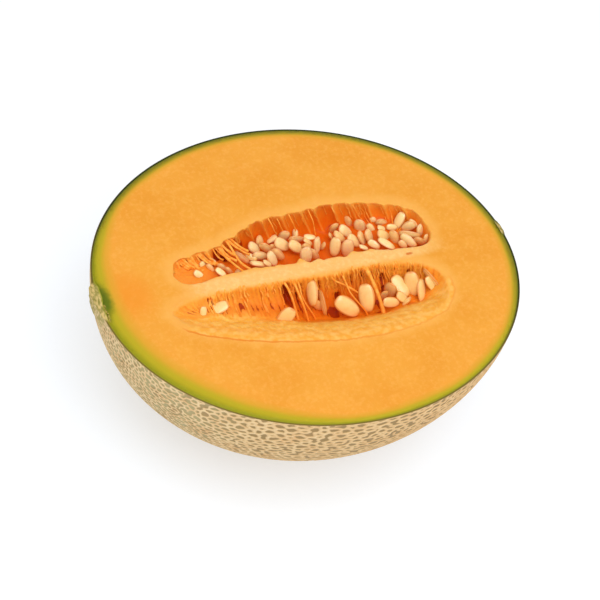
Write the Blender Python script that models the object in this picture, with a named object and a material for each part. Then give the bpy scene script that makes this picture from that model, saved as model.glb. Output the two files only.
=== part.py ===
"""Half a netted cantaloupe, cut from stem end to blossom end, lying on its rind with the cut face up.

Frame: metres, +Z up, +X from the stem end to the blossom end. The origin is the middle of the flat spot
that the half lies on. The rind's net is raised, the seed cavity has two lobes with a ridge between them,
and the seeds lie in the lobes in groups.
"""

import math
import random

import bmesh
import bpy
from mathutils import Matrix, Vector

MM = 0.001

# The whole fruit's half axes and the flat spot it lies on
HALF_LENGTH = 86 * MM
HALF_WIDTH = 75 * MM
HALF_DEPTH = 74 * MM
FLAT_CUT = 1.1 * MM
HEIGHT = HALF_DEPTH - FLAT_CUT

# The raised net
NET_CELLS = 770
NET_STRETCH = 0.3
NET_JITTER = 0.3
NET_HEIGHT = 0.9 * MM
NET_FLOOR_SHARE = 0.83
NET_SNAP = 1.6 * MM
NET_SMALLEST_CELL = 11 * MM * MM
NET_SINK_SHARE = 0.14

# The scars at the two ends
COLLAR_RADIUS = 6.6 * MM
COLLAR_THICKNESS = 1.7 * MM
COLLAR_SINK = 1.1 * MM
COLLAR_MIDDLE_Y = 1.5 * MM
BUTTON_RADIUS = 4.2 * MM
BUTTON_RISE = 0.7 * MM
BUTTON_MIDDLE_Y = 2 * MM

# The lobes of the cavity
LOBE_RISE = 3 * MM
OUTLINE_STEPS = 12
RING_STEPS = (0.0, 0.12, 0.35, 0.6, 0.82, 0.95)
FLOOR_REACH = 0.88
KEEL_STEPS = 16
FLUTE_POINTS = 3
FLUTE_AT_RIM = 0.45

# The strings
STRING_RADIUS = 0.75 * MM
STRING_SIDES = 6
STRING_ROOT_SHARE = 1.5

# The seeds
SEED_LENGTH = 10.6 * MM
SEED_WIDTH = 5.7 * MM
SEED_THICKNESS = 2.3 * MM
SEED_SEGMENTS = 6
SEED_RINGS = 5
NODE_GAP = 0.6 * MM
STALK_RADIUS = 0.9 * MM
STALK_TIP_SHARE = 0.6
STALK_SIDES = 5
STALK_FROM = 0.4 * MM
STALK_ROOT = 1.2 * MM
CORE_WIDTH = 80 * MM

CREASE_ANGLE = 28


class Lobe:
    """One lobe of the cavity: its outline in the cut face and how the walls run down to its deepest line."""

    def __init__(self, outline, spine, depths, steepness, flute_pitch, flute_depth):
        self.outline = [Vector((x * MM, y * MM)) for x, y in outline]
        self.spine = [Vector((x * MM, y * MM)) for x, y in spine]
        self.depths = [depth * MM for depth in depths]
        self.gentle, self.steep = steepness
        self.flute_pitch = flute_pitch * MM
        self.flute_depth = flute_depth * MM

    def share_along(self, x):
        """How far along the deepest line a point at x lies, from 0 to 1."""
        start, end = self.spine
        return min(1.0, max(0.0, (x - start.x) / (end.x - start.x)))

    def deepest(self, share):
        """The point of the deepest line at a share of its length, and the depth there."""
        start, end = self.spine
        spot = share * (len(self.depths) - 1)
        before = min(int(spot), len(self.depths) - 2)
        t = spot - before
        t = t * t * (3 - 2 * t)
        depth = self.depths[before] * (1 - t) + self.depths[before + 1] * t
        return start.lerp(end, share), depth

    def rim(self):
        """The outline as a smooth closed line, with evenly spaced points, FLUTE_POINTS to a flute."""
        smooth = closed_curve(self.outline, OUTLINE_STEPS)
        lengths = [(smooth[i] - smooth[i - 1]).length for i in range(len(smooth))]
        count = round(sum(lengths) / self.flute_pitch) * FLUTE_POINTS
        step = sum(lengths) / count
        points = []
        walked = 0.0
        for i, length in enumerate(lengths):
            while walked <= length and len(points) < count:
                points.append(smooth[i - 1].lerp(smooth[i], walked / length))
                walked += step
            walked -= length
        return points

    def rings(self, inset):
        """Closed rings from just above the cut face down to the floor.

        With an inset they are drawn in on every side and run over the crests between the flutes only.
        """
        rim = self.rim()
        stride = FLUTE_POINTS if inset else 1
        rings = []
        for share in RING_STEPS:
            ring = []
            for i in range(0, len(rim), stride):
                point = rim[i]
                along = (rim[(i + 1) % len(rim)] - rim[i - 1]).normalized()
                outward = Vector((along.y, -along.x))
                scallop = math.sin(math.pi * (i % FLUTE_POINTS) / FLUTE_POINTS)
                fade = min(1.0, FLUTE_AT_RIM + 5 * share) * (1 - share**4)
                deep, depth = self.deepest(self.share_along(point.x))
                curve = self.gentle + (self.steep - self.gentle) * (0.5 + 0.5 * outward.y)
                inward = FLOOR_REACH * (1 - (1 - share**curve) ** (1 / curve))
                push = self.flute_depth * scallop * fade * (0.7 + 0.3 * outward.y) - inset
                place = point.lerp(deep, inward) + outward * push
                ring.append(Vector((place.x, place.y, HEIGHT - share * depth + inset)))
            rings.append(ring)
        lid = [Vector((p.x, p.y, HEIGHT + LOBE_RISE)) for p in rings[0]]
        return [lid] + rings

    def solid(self, inset, collection):
        """The lobe's room as a closed solid: a lid, rings down the walls and a keel along the deepest line."""
        bm = bmesh.new()
        loops = [[bm.verts.new(point) for point in ring] for ring in self.rings(inset)]
        for upper, lower in zip(loops, loops[1:]):
            for i, vert in enumerate(upper):
                j = (i + 1) % len(upper)
                bm.faces.new((vert, lower[i], lower[j], upper[j]))
        bm.faces.new(loops[0])
        keel = []
        for k in range(KEEL_STEPS + 1):
            place, depth = self.deepest(k / KEEL_STEPS)
            keel.append(bm.verts.new((place.x, place.y, HEIGHT - depth + inset)))
        last = loops[-1]
        nearest = [round(KEEL_STEPS * self.share_along(vert.co.x)) for vert in last]
        for i, vert in enumerate(last):
            j = (i + 1) % len(last)
            step = 1 if nearest[j] > nearest[i] else -1
            run = [keel[k] for k in range(nearest[i], nearest[j] + step, step)]
            bm.faces.new([last[j], vert] + run)
        return object_from(bm, "lobe", collection)


def closed_curve(points, steps):
    """A smooth closed line through the points, with some steps between each pair."""
    line = []
    count = len(points)
    for i in range(count):
        before, start, end, after = (points[(i + k) % count] for k in (-1, 0, 1, 2))
        for step in range(steps):
            t = step / steps
            line.append(
                0.5
                * (
                    2 * start
                    + (end - before) * t
                    + (2 * before - 5 * start + 4 * end - after) * t**2
                    + (3 * start - before - 3 * end + after) * t**3
                )
            )
    return line


FAR_LOBE = Lobe(
    outline=[
        (-53.5, 8), (-51, 3.4), (-46, 2.3), (-38, 3.4), (-29.5, 4.1), (-20, 4.2), (-8, 3.4), (4, 2.8),
        (14, 2.8), (25, 3), (36, 1.8), (46, 0.6), (52, 1.4), (55.5, 6.5), (54.6, 15), (50.5, 20.6), (43, 24.2),
        (33, 27), (23.5, 28.9), (12, 28.4), (0, 27.9), (-12, 26.5), (-21, 22.8), (-27, 19.8), (-34.5, 17),
        (-43, 15.6), (-50, 13.4),
    ],
    spine=[(-42, 9), (43, 12)],
    depths=(7, 12, 17, 19, 19, 17, 12),
    steepness=(2.6, 2.6),
    flute_pitch=7.2,
    flute_depth=1.5,
)
NEAR_LOBE = Lobe(
    outline=[
        (-59.5, -12), (-54, -18.8), (-41, -25), (-25, -30), (-8, -33.8), (10, -36), (27, -35.2),
        (41, -32), (48.5, -26), (51, -17), (48.5, -11.2), (42.5, -7.6), (32, -5.6), (20, -4.7), (6, -5.6),
        (-6, -5), (-24, -4.4), (-38, -4.4), (-56, -7),
    ],
    spine=[(-46, -12), (38, -17)],
    depths=(4.5, 7, 9.5, 13.5, 15.5, 15, 11.5),
    steepness=(0.75, 2.0),
    flute_pitch=4.6,
    flute_depth=0.9,
)


def clear_scene():
    for obj in list(bpy.data.objects):
        bpy.data.objects.remove(obj)


def make_collection(name, hidden):
    collection = bpy.data.collections.new(name)
    collection.hide_render = hidden
    bpy.context.scene.collection.children.link(collection)
    return collection


def make_material(name, colour, roughness):
    """A plain finish: colour, roughness and no metal."""
    material = bpy.data.materials.new(name)
    material.use_nodes = True
    shader = material.node_tree.nodes["Principled BSDF"]
    shader.inputs["Base Color"].default_value = (*colour, 1.0)
    shader.inputs["Roughness"].default_value = roughness
    shader.inputs["Metallic"].default_value = 0.0
    material.diffuse_color = (*colour, 1.0)
    return material


def object_from(bm, name, collection):
    """A mesh object that holds what was modelled in bm."""
    bmesh.ops.recalc_face_normals(bm, faces=bm.faces)
    mesh = bpy.data.meshes.new(name)
    bm.to_mesh(mesh)
    bm.free()
    obj = bpy.data.objects.new(name, mesh)
    collection.objects.link(obj)
    return obj


def evaluated_mesh(obj):
    """The object's shape with its modifiers applied, as a mesh of its own."""
    graph = bpy.context.evaluated_depsgraph_get()
    return bpy.data.meshes.new_from_object(obj.evaluated_get(graph))


def apply_boolean(obj, operation, collection, solver="EXACT"):
    """Joins or cuts the object with all that the collection holds, then empties the collection."""
    modifier = obj.modifiers.new(operation.lower(), "BOOLEAN")
    modifier.operation = operation
    modifier.operand_type = "COLLECTION"
    modifier.collection = collection
    modifier.solver = solver
    mesh = evaluated_mesh(obj)
    obj.modifiers.remove(modifier)
    old = obj.data
    obj.data = mesh
    bpy.data.meshes.remove(old)
    for used in list(collection.objects):
        bpy.data.objects.remove(used)


def weld(obj, distance):
    bm = bmesh.new()
    bm.from_mesh(obj.data)
    bmesh.ops.remove_doubles(bm, verts=bm.verts, dist=distance)
    bmesh.ops.dissolve_degenerate(bm, edges=bm.edges, dist=distance)
    bm.to_mesh(obj.data)
    bm.free()


def finish(obj, name, material):
    obj.name = name
    obj.data.name = name
    obj.data.materials.clear()
    obj.data.materials.append(material)
    obj.data.shade_smooth()
    obj.data.set_sharp_from_angle(angle=math.radians(CREASE_ANGLE))


# The netted outside


def dual_of(obj):
    """The mesh with a face for each point and a point for each face: cells in place of triangles."""
    tree = bpy.data.node_groups.new("cells", "GeometryNodeTree")
    tree.interface.new_socket("Geometry", in_out="INPUT", socket_type="NodeSocketGeometry")
    tree.interface.new_socket("Geometry", in_out="OUTPUT", socket_type="NodeSocketGeometry")
    start = tree.nodes.new("NodeGroupInput")
    dual = tree.nodes.new("GeometryNodeDualMesh")
    end = tree.nodes.new("NodeGroupOutput")
    tree.links.new(start.outputs[0], dual.inputs["Mesh"])
    tree.links.new(dual.outputs["Dual Mesh"], end.inputs[0])
    modifier = obj.modifiers.new("cells", "NODES")
    modifier.node_group = tree
    mesh = evaluated_mesh(obj)
    bpy.data.objects.remove(obj)
    return mesh


def cell_seeds():
    """Points spread evenly on a unit sphere, each nudged by a seeded draw."""
    draw = random.Random(5)
    turn = math.pi * (3 - math.sqrt(5))
    nudge = NET_JITTER * math.sqrt(4 * math.pi / NET_CELLS)
    for i in range(NET_CELLS):
        along = 1 - (2 * i + 1) / NET_CELLS
        across = math.sqrt(1 - along * along)
        point = Vector((along, across * math.cos(turn * i), across * math.sin(turn * i)))
        point += Vector([draw.uniform(-nudge, nudge) for _ in range(3)])
        yield point.normalized()


def on_fruit(point):
    """A point of the unit sphere laid on the fruit, with cells longer in the middle and finer at the ends."""
    along = point.x * (1 + NET_STRETCH * (1 - point.x**2))
    across = math.sqrt(max(0.0, 1 - along * along))
    reach = math.hypot(point.y, point.z)
    share = across / reach if reach > 1e-6 else 0.0
    z = HALF_DEPTH * point.z * share
    if abs(z) < NET_SNAP:
        z = 0.0
    return Vector((HALF_LENGTH * along, HALF_WIDTH * point.y * share, max(HEIGHT + z, 0.0)))


def make_netted_half(collection):
    """The lower half of the fruit, closed by the cut face, with a ridge along every cell's edge."""
    bm = bmesh.new()
    for point in cell_seeds():
        bm.verts.new(point)
    hull = bmesh.ops.convex_hull(bm, input=bm.verts)
    bmesh.ops.delete(bm, geom=hull["geom_interior"], context="VERTS")
    mesh = dual_of(object_from(bm, "cell_seeds", collection))
    bm = bmesh.new()
    bm.from_mesh(mesh)
    bpy.data.meshes.remove(mesh)
    for vert in bm.verts:
        vert.co = on_fruit(vert.co)
    everything = bm.verts[:] + bm.edges[:] + bm.faces[:]
    top = Vector((0, 0, HEIGHT))
    bmesh.ops.bisect_plane(bm, geom=everything, dist=1e-7, plane_co=top, plane_no=(0, 0, 1), clear_outer=True)
    bmesh.ops.recalc_face_normals(bm, faces=bm.faces)
    bottom = [face for face in bm.faces if max(vert.co.z for vert in face.verts) < 1e-6]
    cells = [face for face in bm.faces if face not in bottom]
    bmesh.ops.dissolve_faces(bm, faces=bottom)
    rim = [edge for edge in bm.edges if edge.is_boundary]
    bmesh.ops.contextual_create(bm, geom=rim)
    sink_cells(bm, [cell for cell in cells if cell.is_valid])
    return object_from(bm, "melon_half", collection)


def sink_cells(bm, cells):
    """Sinks the middle of each cell, so that its edges stand up as the net."""
    wide = [face for face in cells if face.calc_area() > NET_SMALLEST_CELL]
    for face in bmesh.ops.extrude_discrete_faces(bm, faces=wide)["faces"]:
        middle = face.calc_center_median()
        sink = face.normal * min(NET_HEIGHT, NET_SINK_SHARE * math.sqrt(face.calc_area()))
        for vert in face.verts:
            vert.co = middle.lerp(vert.co, NET_FLOOR_SHARE) - sink


def make_collar(collection):
    """The corky ring round the place where the stem came away."""
    bpy.ops.mesh.primitive_torus_add(
        major_radius=COLLAR_RADIUS,
        minor_radius=COLLAR_THICKNESS,
        major_segments=22,
        minor_segments=7,
        location=(COLLAR_SINK - HALF_LENGTH, COLLAR_MIDDLE_Y, HEIGHT),
        rotation=(0, math.pi / 2, 0),
    )
    trim_above_cut(bpy.context.object, collection, "collar")


def make_button(collection):
    """The low corky button at the blossom end."""
    middle = (HALF_LENGTH, BUTTON_MIDDLE_Y, HEIGHT)
    bpy.ops.mesh.primitive_uv_sphere_add(segments=14, ring_count=6, location=middle)
    button = bpy.context.object
    button.scale = (BUTTON_RISE, BUTTON_RADIUS, BUTTON_RADIUS)
    trim_above_cut(button, collection, "button")


def trim_above_cut(obj, collection, name):
    """Cuts the object off level with the cut face and moves it to the collection."""
    bpy.context.view_layer.update()
    bm = bmesh.new()
    bm.from_mesh(obj.data)
    bm.transform(obj.matrix_world)
    bpy.data.objects.remove(obj)
    everything = bm.verts[:] + bm.edges[:] + bm.faces[:]
    top = Vector((0, 0, HEIGHT))
    bmesh.ops.bisect_plane(bm, geom=everything, dist=1e-7, plane_co=top, plane_no=(0, 0, 1), clear_outer=True)
    rims = [edge for edge in bm.edges if edge.is_boundary]
    bmesh.ops.holes_fill(bm, edges=rims, sides=0)
    return object_from(bm, name, collection)


# The cavity


def make_string(path, collection):
    """A fibre: a thin tube along a path, thicker at both roots."""
    curve = bpy.data.curves.new("string", "CURVE")
    curve.dimensions = "3D"
    curve.bevel_depth = STRING_RADIUS
    curve.bevel_resolution = (STRING_SIDES - 4) // 2
    curve.use_fill_caps = True
    spline = curve.splines.new("POLY")
    spline.points.add(len(path) - 1)
    for i, (place, point) in enumerate(zip(path, spline.points)):
        x, y, depth = place
        point.co = (x * MM, y * MM, HEIGHT - depth * MM, 1.0)
        point.radius = STRING_ROOT_SHARE if i in (0, len(path) - 1) else 1.0
    guide = bpy.data.objects.new("string", curve)
    collection.objects.link(guide)
    mesh = evaluated_mesh(guide)
    bpy.data.objects.remove(guide)
    bm = bmesh.new()
    bm.from_mesh(mesh)
    bpy.data.meshes.remove(mesh)
    bmesh.ops.remove_doubles(bm, verts=bm.verts, dist=1e-6)
    return object_from(bm, "string", collection)


# Strings in the lobes: points as (x, y, depth under the cut face), both ends inside the flesh
STRINGS = (
    ((-27.4, 22, 1.6), (-26.2, 17.4, 2.4), (-25.2, 14, 3.6), (-24.4, 11.4, 4.2), (-23, 8.4, 4), (-18.8, 1.8, 2.8)),
    ((-32.2, 20.4, 1.6), (-30.6, 16.6, 2.4), (-29.7, 14.5, 3.2), (-28.1, 11.6, 3.4), (-26.7, 8, 3), (-23.4, 1.8, 2.7)),
    ((-3.6, 29.8, 1.2), (-2.3, 27, 3), (-1.4, 26.4, 5), (-0.8, 28.8, 8)),
    ((2, 30, 1.2), (3.1, 27, 3), (4, 26.4, 5), (4.6, 28.8, 8)),
    ((30.2, 29.6, 1.2), (31.1, 27, 2.5), (32.2, 26, 4.6), (33.2, 28.4, 7.2)),
    ((-12.6, -3, 1.6), (-11.4, -6.7, 3), (-10.4, -9.6, 6), (-9.9, -13.6, 9), (-9.2, -17.5, 13.5)),
    ((-8.8, -3, 1.6), (-8.1, -7.4, 3), (-6.9, -11.6, 6.5), (-6.1, -15, 10), (-5.2, -18, 14.5)),
    ((22.2, -3.2, 1.8), (22.8, -7.6, 2.4), (23.8, -12.4, 5), (24.3, -17.5, 7.2), (24.6, -23.5, 10.8)),
)


def make_melon_half(collection, work):
    melon = make_netted_half(collection)
    make_collar(work)
    make_button(work)
    apply_boolean(melon, "UNION", work)
    for lobe in (FAR_LOBE, NEAR_LOBE):
        lobe.solid(0.0, work)
    apply_boolean(melon, "DIFFERENCE", work)
    for path in STRINGS:
        make_string(path, work)
    apply_boolean(melon, "UNION", work)
    weld(melon, 0.005 * MM)
    finish(melon, "melon_half", make_material("rind_and_flesh", (0.86, 0.48, 0.14), 0.45))


# The seeds


def make_seed(place, collection):
    """One seed: flat, round at one end and pointed at the other, with few sides."""
    x, y, depth, heading, pitch, roll, size = place
    bm = bmesh.new()
    bmesh.ops.create_uvsphere(bm, u_segments=SEED_SEGMENTS, v_segments=SEED_RINGS, radius=1.0)
    for vert in bm.verts:
        across, flat, along = vert.co
        taper = 0.72 + 0.28 * along - 0.1 * along * along
        vert.co = Vector((along * SEED_LENGTH, across * SEED_WIDTH * taper, flat * SEED_THICKNESS)) / 2
    turn = Matrix.Rotation(math.radians(heading), 4, "Z")
    turn @= Matrix.Rotation(math.radians(-pitch), 4, "Y")
    turn @= Matrix.Rotation(math.radians(roll), 4, "X")
    spot = Matrix.Translation((x * MM, y * MM, HEIGHT - depth * MM))
    bm.transform(spot @ turn @ Matrix.Scale(size, 4))
    return object_from(bm, "seed", collection)


def make_stalk(place, lobe, core_depth, collection):
    """The short fibre that a seed is rooted by, from inside the seed into the core, drawn to the lobe's middle."""
    x, y, depth = (value * MM for value in place[:3])
    fall = core_depth - depth + STALK_ROOT
    middle = lobe.deepest(lobe.share_along(x))[0]
    start = Vector((x, y, HEIGHT - depth))
    run = Vector((0, min(fall, max(-fall, middle.y - y)), -fall))
    bm = bmesh.new()
    bmesh.ops.create_cone(
        bm,
        cap_ends=True,
        segments=STALK_SIDES,
        radius1=STALK_TIP_SHARE * STALK_RADIUS,
        radius2=STALK_RADIUS,
        depth=run.length,
    )
    turn = run.to_track_quat("Z", "Y").to_matrix().to_4x4()
    bm.transform(Matrix.Translation(start + run / 2) @ turn)
    return object_from(bm, "stalk", collection)


# The seed groups: lobe, span along X, depths of the core's top at both ends, and the seeds as
# (x, y, depth, heading, lean, roll, size)
GROUPS = {
    "seeds_far_stem": (FAR_LOBE, (-48, -19), (4.4, 11), [
        (-35.5, 15.5, 5.1, 143, 3, -65, 0.44), (-39, 13.2, 4.7, 162, 52, -39, 0.42),
        (-36.9, 11.2, 4.2, 150, 53, -99, 0.42), (-42.7, 8.5, 3.6, 154, 34, -32, 0.43),
        (-33.9, 7.9, 3.7, 134, 20, -7, 0.42), (-31.9, 11.7, 5.3, 176, 52, -102, 0.42),
        (-30, 9, 5.1, 169, 61, -119, 0.42), (-26.3, 8.8, 6.3, 293, 57, 34, 0.42),
        (-21.4, 16.6, 7.9, 143, 29, -106, 0.66),
    ]),
    "seeds_far_middle": (FAR_LOBE, (-18.3, 16), (12, 12.5), [
        (-13.9, 21.4, 9.5, 179, 43, -35, 0.66), (-10, 24.7, 10.5, 188, 62, -55, 0.66),
        (-9.3, 20.3, 9.5, 170, 54, -114, 0.66), (-4.5, 25.3, 10.8, 4, 37, -1, 0.42),
        (0.5, 25.4, 10.6, 296, 80, 135, 0.66), (-2.2, 20.7, 9.4, 178, 35, -37, 0.75),
        (-5.6, 20.8, 10.1, 183, 37, -100, 0.42), (-6, 15.6, 8.8, 165, 53, -103, 0.66),
        (-9.4, 13.5, 8.2, 157, 55, -29, 0.66), (-13.5, 16.5, 8.8, 184, 30, -91, 0.66),
        (-17.3, 16.4, 8.6, 139, 6, -60, 0.43), (-15.7, 12.4, 8.5, 180, 20, 22, 0.66),
        (-12.2, 11.7, 8.2, 180, 36, -14, 0.42), (5.7, 25.3, 10.5, 90, 63, -56, 0.42),
        (5.1, 22.4, 9.8, 184, 25, -111, 0.66), (2.7, 18, 9, 166, 37, -37, 0.68),
        (10.7, 22.2, 9.8, 154, -7, -9, 0.42), (8.9, 19.8, 9.6, 162, 34, -7, 0.42),
        (7.3, 17.5, 9.3, 184, 34, -89, 0.42), (11.5, 16.7, 8.8, 129, 74, -4, 0.66),
        (4.5, 11.7, 7.7, 159, 73, -67, 0.79), (8.5, 12.5, 9.1, 172, 61, -129, 0.66),
        (2.7, 8.8, 7.6, 192, 31, -119, 0.42), (14.6, 17.1, 10.6, 284, 70, 64, 0.42),
    ]),
    "seeds_far_blossom": (FAR_LOBE, (17, 55), (12.5, 6.5), [
        (22.4, 24.8, 10.3, 244, 76, -148, 0.66), (29.7, 27.1, 10.9, 214, 81, 178, 0.66),
        (26.5, 22, 9.8, 168, 38, -34, 0.66), (33.1, 22.6, 9.3, 185, 78, -133, 0.75),
        (22.7, 19.5, 9.4, 182, 41, -19, 0.66), (19.8, 21, 10.3, 192, 52, -28, 0.42),
        (18.1, 13.8, 8.2, 69, 65, -26, 0.7), (22.8, 11.7, 8.1, 145, 76, -57, 0.81),
        (27.2, 15.5, 8.6, 165, 41, -30, 0.66), (31.1, 16.1, 8.8, 166, 57, -22, 0.66),
        (34, 15.6, 7.9, 157, 60, -28, 0.66), (38.9, 24.1, 8.9, 325, 62, 79, 0.45),
        (36.9, 20.1, 8.4, 142, 44, -67, 0.42), (42, 21.1, 7.5, 194, 48, -116, 0.66),
        (41, 18.2, 7.6, 170, 23, -11, 0.42), (39.5, 13.9, 6.6, 182, 33, -31, 0.66),
        (42.7, 10.9, 5.5, 148, 72, -108, 0.66), (44.6, 17, 6.3, 168, 8, -61, 0.42),
        (48.4, 18.9, 5.3, 32, 61, -15, 0.66), (50.6, 14.6, 4.7, 313, 61, 96, 0.66),
        (53.2, 15.3, 4.1, 159, 32, -12, 0.42), (54.1, 10.9, 4, 191, 61, -59, 0.66),
        (48.9, 10, 4.2, 152, -5, -108, 0.76), (46.9, 6.8, 3.9, 129, 14, -81, 0.67),
        (44.3, 6.2, 4.8, 159, 43, -72, 0.42), (51.3, 5.2, 3.7, 191, 54, -134, 0.66),
        (54, 5.5, 3.1, 155, 76, -43, 0.42), (38.3, 8.7, 5.7, 134, 11, 11, 0.67),
        (34, 10.8, 7.4, 135, 9, -58, 0.46), (29.5, 10.8, 8.1, 181, 28, 1, 0.42),
    ]),
    "seeds_near_stem": (NEAR_LOBE, (-53, -34), (2.4, 5), [
        (-47.6, -9.8, 3.2, 72, 52, 4, 0.47), (-41.3, -5.4, 4.2, 118, 66, 22, 0.66),
        (-41.4, -8.7, 3.8, 358, 25, 7, 0.85),
    ]),
    "seeds_near_single": (NEAR_LOBE, (-20, -12), (7.8, 9.6), [
        (-16, -16.7, 7.2, 8, 63, 50, 1),
    ]),
    "seeds_near_middle": (NEAR_LOBE, (-4.2, 16), (12, 12.8), [
        (-1.9, -9, 5.2, 83, 38, -59, 0.97), (2, -11.9, 8.5, 93, 35, -99, 0.98),
        (0.8, -11.4, 10.5, 169, 54, -91, 0.66), (11.1, -15.7, 9, 149, 29, -46, 1.1),
    ]),
    "seeds_near_pair": (NEAR_LOBE, (17.2, 22.6), (13, 13), [
        (19.7, -14.5, 7.5, 94, 50, -41, 1.09),
    ]),
    "seeds_near_blossom": (NEAR_LOBE, (26.2, 50), (12, 4), [
        (31.2, -12.3, 8.5, 233, 80, 167, 0.93), (35.6, -12.2, 7.2, 116, 24, -14, 0.95),
        (39.8, -13.3, 5.9, 104, 60, -50, 1.04), (42.8, -16.6, 7, 79, 39, 38, 0.93),
        (46.9, -15.7, 4.6, 125, 41, -23, 0.66), (47.7, -13.9, 3.9, 119, 22, -116, 0.97),
        (29.3, -17.8, 9, 175, 15, -59, 0.74), (34.6, -16.8, 8.6, 166, 37, -31, 0.66),
        (35.3, -18.9, 9.4, 323, 66, -1, 0.66), (28.4, -13.2, 10, 222, 78, -132, 0.66),
    ]),
}


def make_core(x_span, tops, collection):
    """What a group's seeds are rooted in: a block over the bottom of the lobe, cut to its walls later."""
    bm = bmesh.new()
    bmesh.ops.create_cube(bm, size=1.0)
    for vert in bm.verts:
        end = 0 if vert.co.x < 0 else 1
        top = HEIGHT - tops[end] * MM if vert.co.z > 0 else 0.0
        vert.co = Vector((x_span[end] * MM, vert.co.y * CORE_WIDTH, top))
    return object_from(bm, "core", collection)


def keep_main_body(obj):
    """Drops loose scraps and leaves the largest connected body."""
    bm = bmesh.new()
    bm.from_mesh(obj.data)
    left = set(bm.verts)
    bodies = []
    while left:
        body = set()
        front = [left.pop()]
        while front:
            vert = front.pop()
            body.add(vert)
            near = [edge.other_vert(vert) for edge in vert.link_edges]
            front += [other for other in near if other in left]
            left.difference_update(near)
        bodies.append(body)
    bodies.sort(key=len)
    scraps = [vert for body in bodies[:-1] for vert in body]
    bmesh.ops.delete(bm, geom=scraps, context="VERTS")
    bm.to_mesh(obj.data)
    bm.free()


def make_seed_group(name, group, material, collection, work):
    lobe, x_span, tops, seeds = group
    body = make_core(x_span, tops, collection)
    for place in seeds:
        make_seed(place, work)
        share = (place[0] - x_span[0]) / (x_span[1] - x_span[0])
        core_depth = (tops[0] + share * (tops[1] - tops[0])) * MM
        if core_depth - place[2] * MM > STALK_FROM:
            make_stalk(place, lobe, core_depth, work)
    apply_boolean(body, "UNION", work)
    lobe.solid(NODE_GAP, work)
    apply_boolean(body, "INTERSECT", work, solver="MANIFOLD")
    weld(body, 0.02 * MM)
    keep_main_body(body)
    finish(body, name, material)


def main():
    clear_scene()
    parts = make_collection("cantaloupe_half", hidden=False)
    work = make_collection("cutters", hidden=True)
    make_melon_half(parts, work)
    seed_finish = make_material("seed_skin", (0.9, 0.72, 0.45), 0.3)
    for name, group in GROUPS.items():
        make_seed_group(name, group, seed_finish, parts, work)


main()
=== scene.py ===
# %% [markdown]
# # Half a netted cantaloupe
#
# A ripe melon was cut from the stem end to the blossom end, and this half lies on its rind with the cut
# face up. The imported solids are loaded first. They stay behind as what touches and collides, and every
# piece that is made below stands for one or more of them, at the same place and size.

# %% Load the solids
import math
import random

import bmesh
import bpy
import numpy as np
from mathutils import Matrix, Vector, geometry, noise


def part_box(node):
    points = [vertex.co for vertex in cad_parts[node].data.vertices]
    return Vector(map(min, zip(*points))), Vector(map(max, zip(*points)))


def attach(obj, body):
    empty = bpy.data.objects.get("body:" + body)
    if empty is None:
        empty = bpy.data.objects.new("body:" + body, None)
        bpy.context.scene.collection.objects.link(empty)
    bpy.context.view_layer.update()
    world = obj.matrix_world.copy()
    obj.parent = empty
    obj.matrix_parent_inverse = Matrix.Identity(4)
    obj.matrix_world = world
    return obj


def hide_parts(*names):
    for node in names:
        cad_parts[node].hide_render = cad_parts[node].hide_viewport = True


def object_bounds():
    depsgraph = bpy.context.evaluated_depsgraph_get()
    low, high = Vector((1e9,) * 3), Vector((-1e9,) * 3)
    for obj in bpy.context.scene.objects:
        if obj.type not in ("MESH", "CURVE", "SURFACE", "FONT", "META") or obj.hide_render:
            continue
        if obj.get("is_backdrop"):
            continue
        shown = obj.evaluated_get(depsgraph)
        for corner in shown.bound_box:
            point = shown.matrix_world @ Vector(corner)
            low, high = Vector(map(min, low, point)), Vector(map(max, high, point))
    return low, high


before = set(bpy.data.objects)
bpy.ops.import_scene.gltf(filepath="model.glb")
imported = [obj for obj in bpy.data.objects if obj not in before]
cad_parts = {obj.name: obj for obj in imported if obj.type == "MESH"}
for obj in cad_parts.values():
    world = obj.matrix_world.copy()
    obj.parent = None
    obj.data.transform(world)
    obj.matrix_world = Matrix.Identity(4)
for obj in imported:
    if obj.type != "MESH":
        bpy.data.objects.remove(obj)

MM = 0.001
solid_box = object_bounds()
melon_low, melon_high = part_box("melon_half")
print("solids:", len(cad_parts), "nodes, box", [round(c / MM, 1) for c in melon_high - melon_low], "mm")

# %% [markdown]
# ## The fruit's sizes
#
# Everything is measured from the solid, so that the dressed melon can't drift away from it. The two scars
# stand a little out of the fruit at its ends, and the flat spot takes a little off its depth.

# %% Sizes
SCAR_RISE = 0.7 * MM
FLAT_CUT = 1.1 * MM
HEIGHT = melon_high.z
HALF_LENGTH = melon_high.x - SCAR_RISE
HALF_WIDTH = (melon_high.y - melon_low.y) / 2
HALF_DEPTH = HEIGHT + FLAT_CUT
HALF_SIZE = (HALF_LENGTH, HALF_WIDTH, HALF_DEPTH)
print("half sizes:", [round(c / MM, 2) for c in HALF_SIZE], "mm")

# %% [markdown]
# ## Sums written as sums
#
# Shaders and geometry trees both work by nodes. A long formula drawn node by node is hard to read, so one
# small class wraps a node's output and overloads the usual signs. Writing 1 - mask then adds a Subtract
# node. A second class holds the tree, and its one method adds any other node: its kind, its settings, and
# what goes into its sockets. The mesh keeps numbers under names, and that is how a shape tells its finish
# where a ridge or a crease is.


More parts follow.
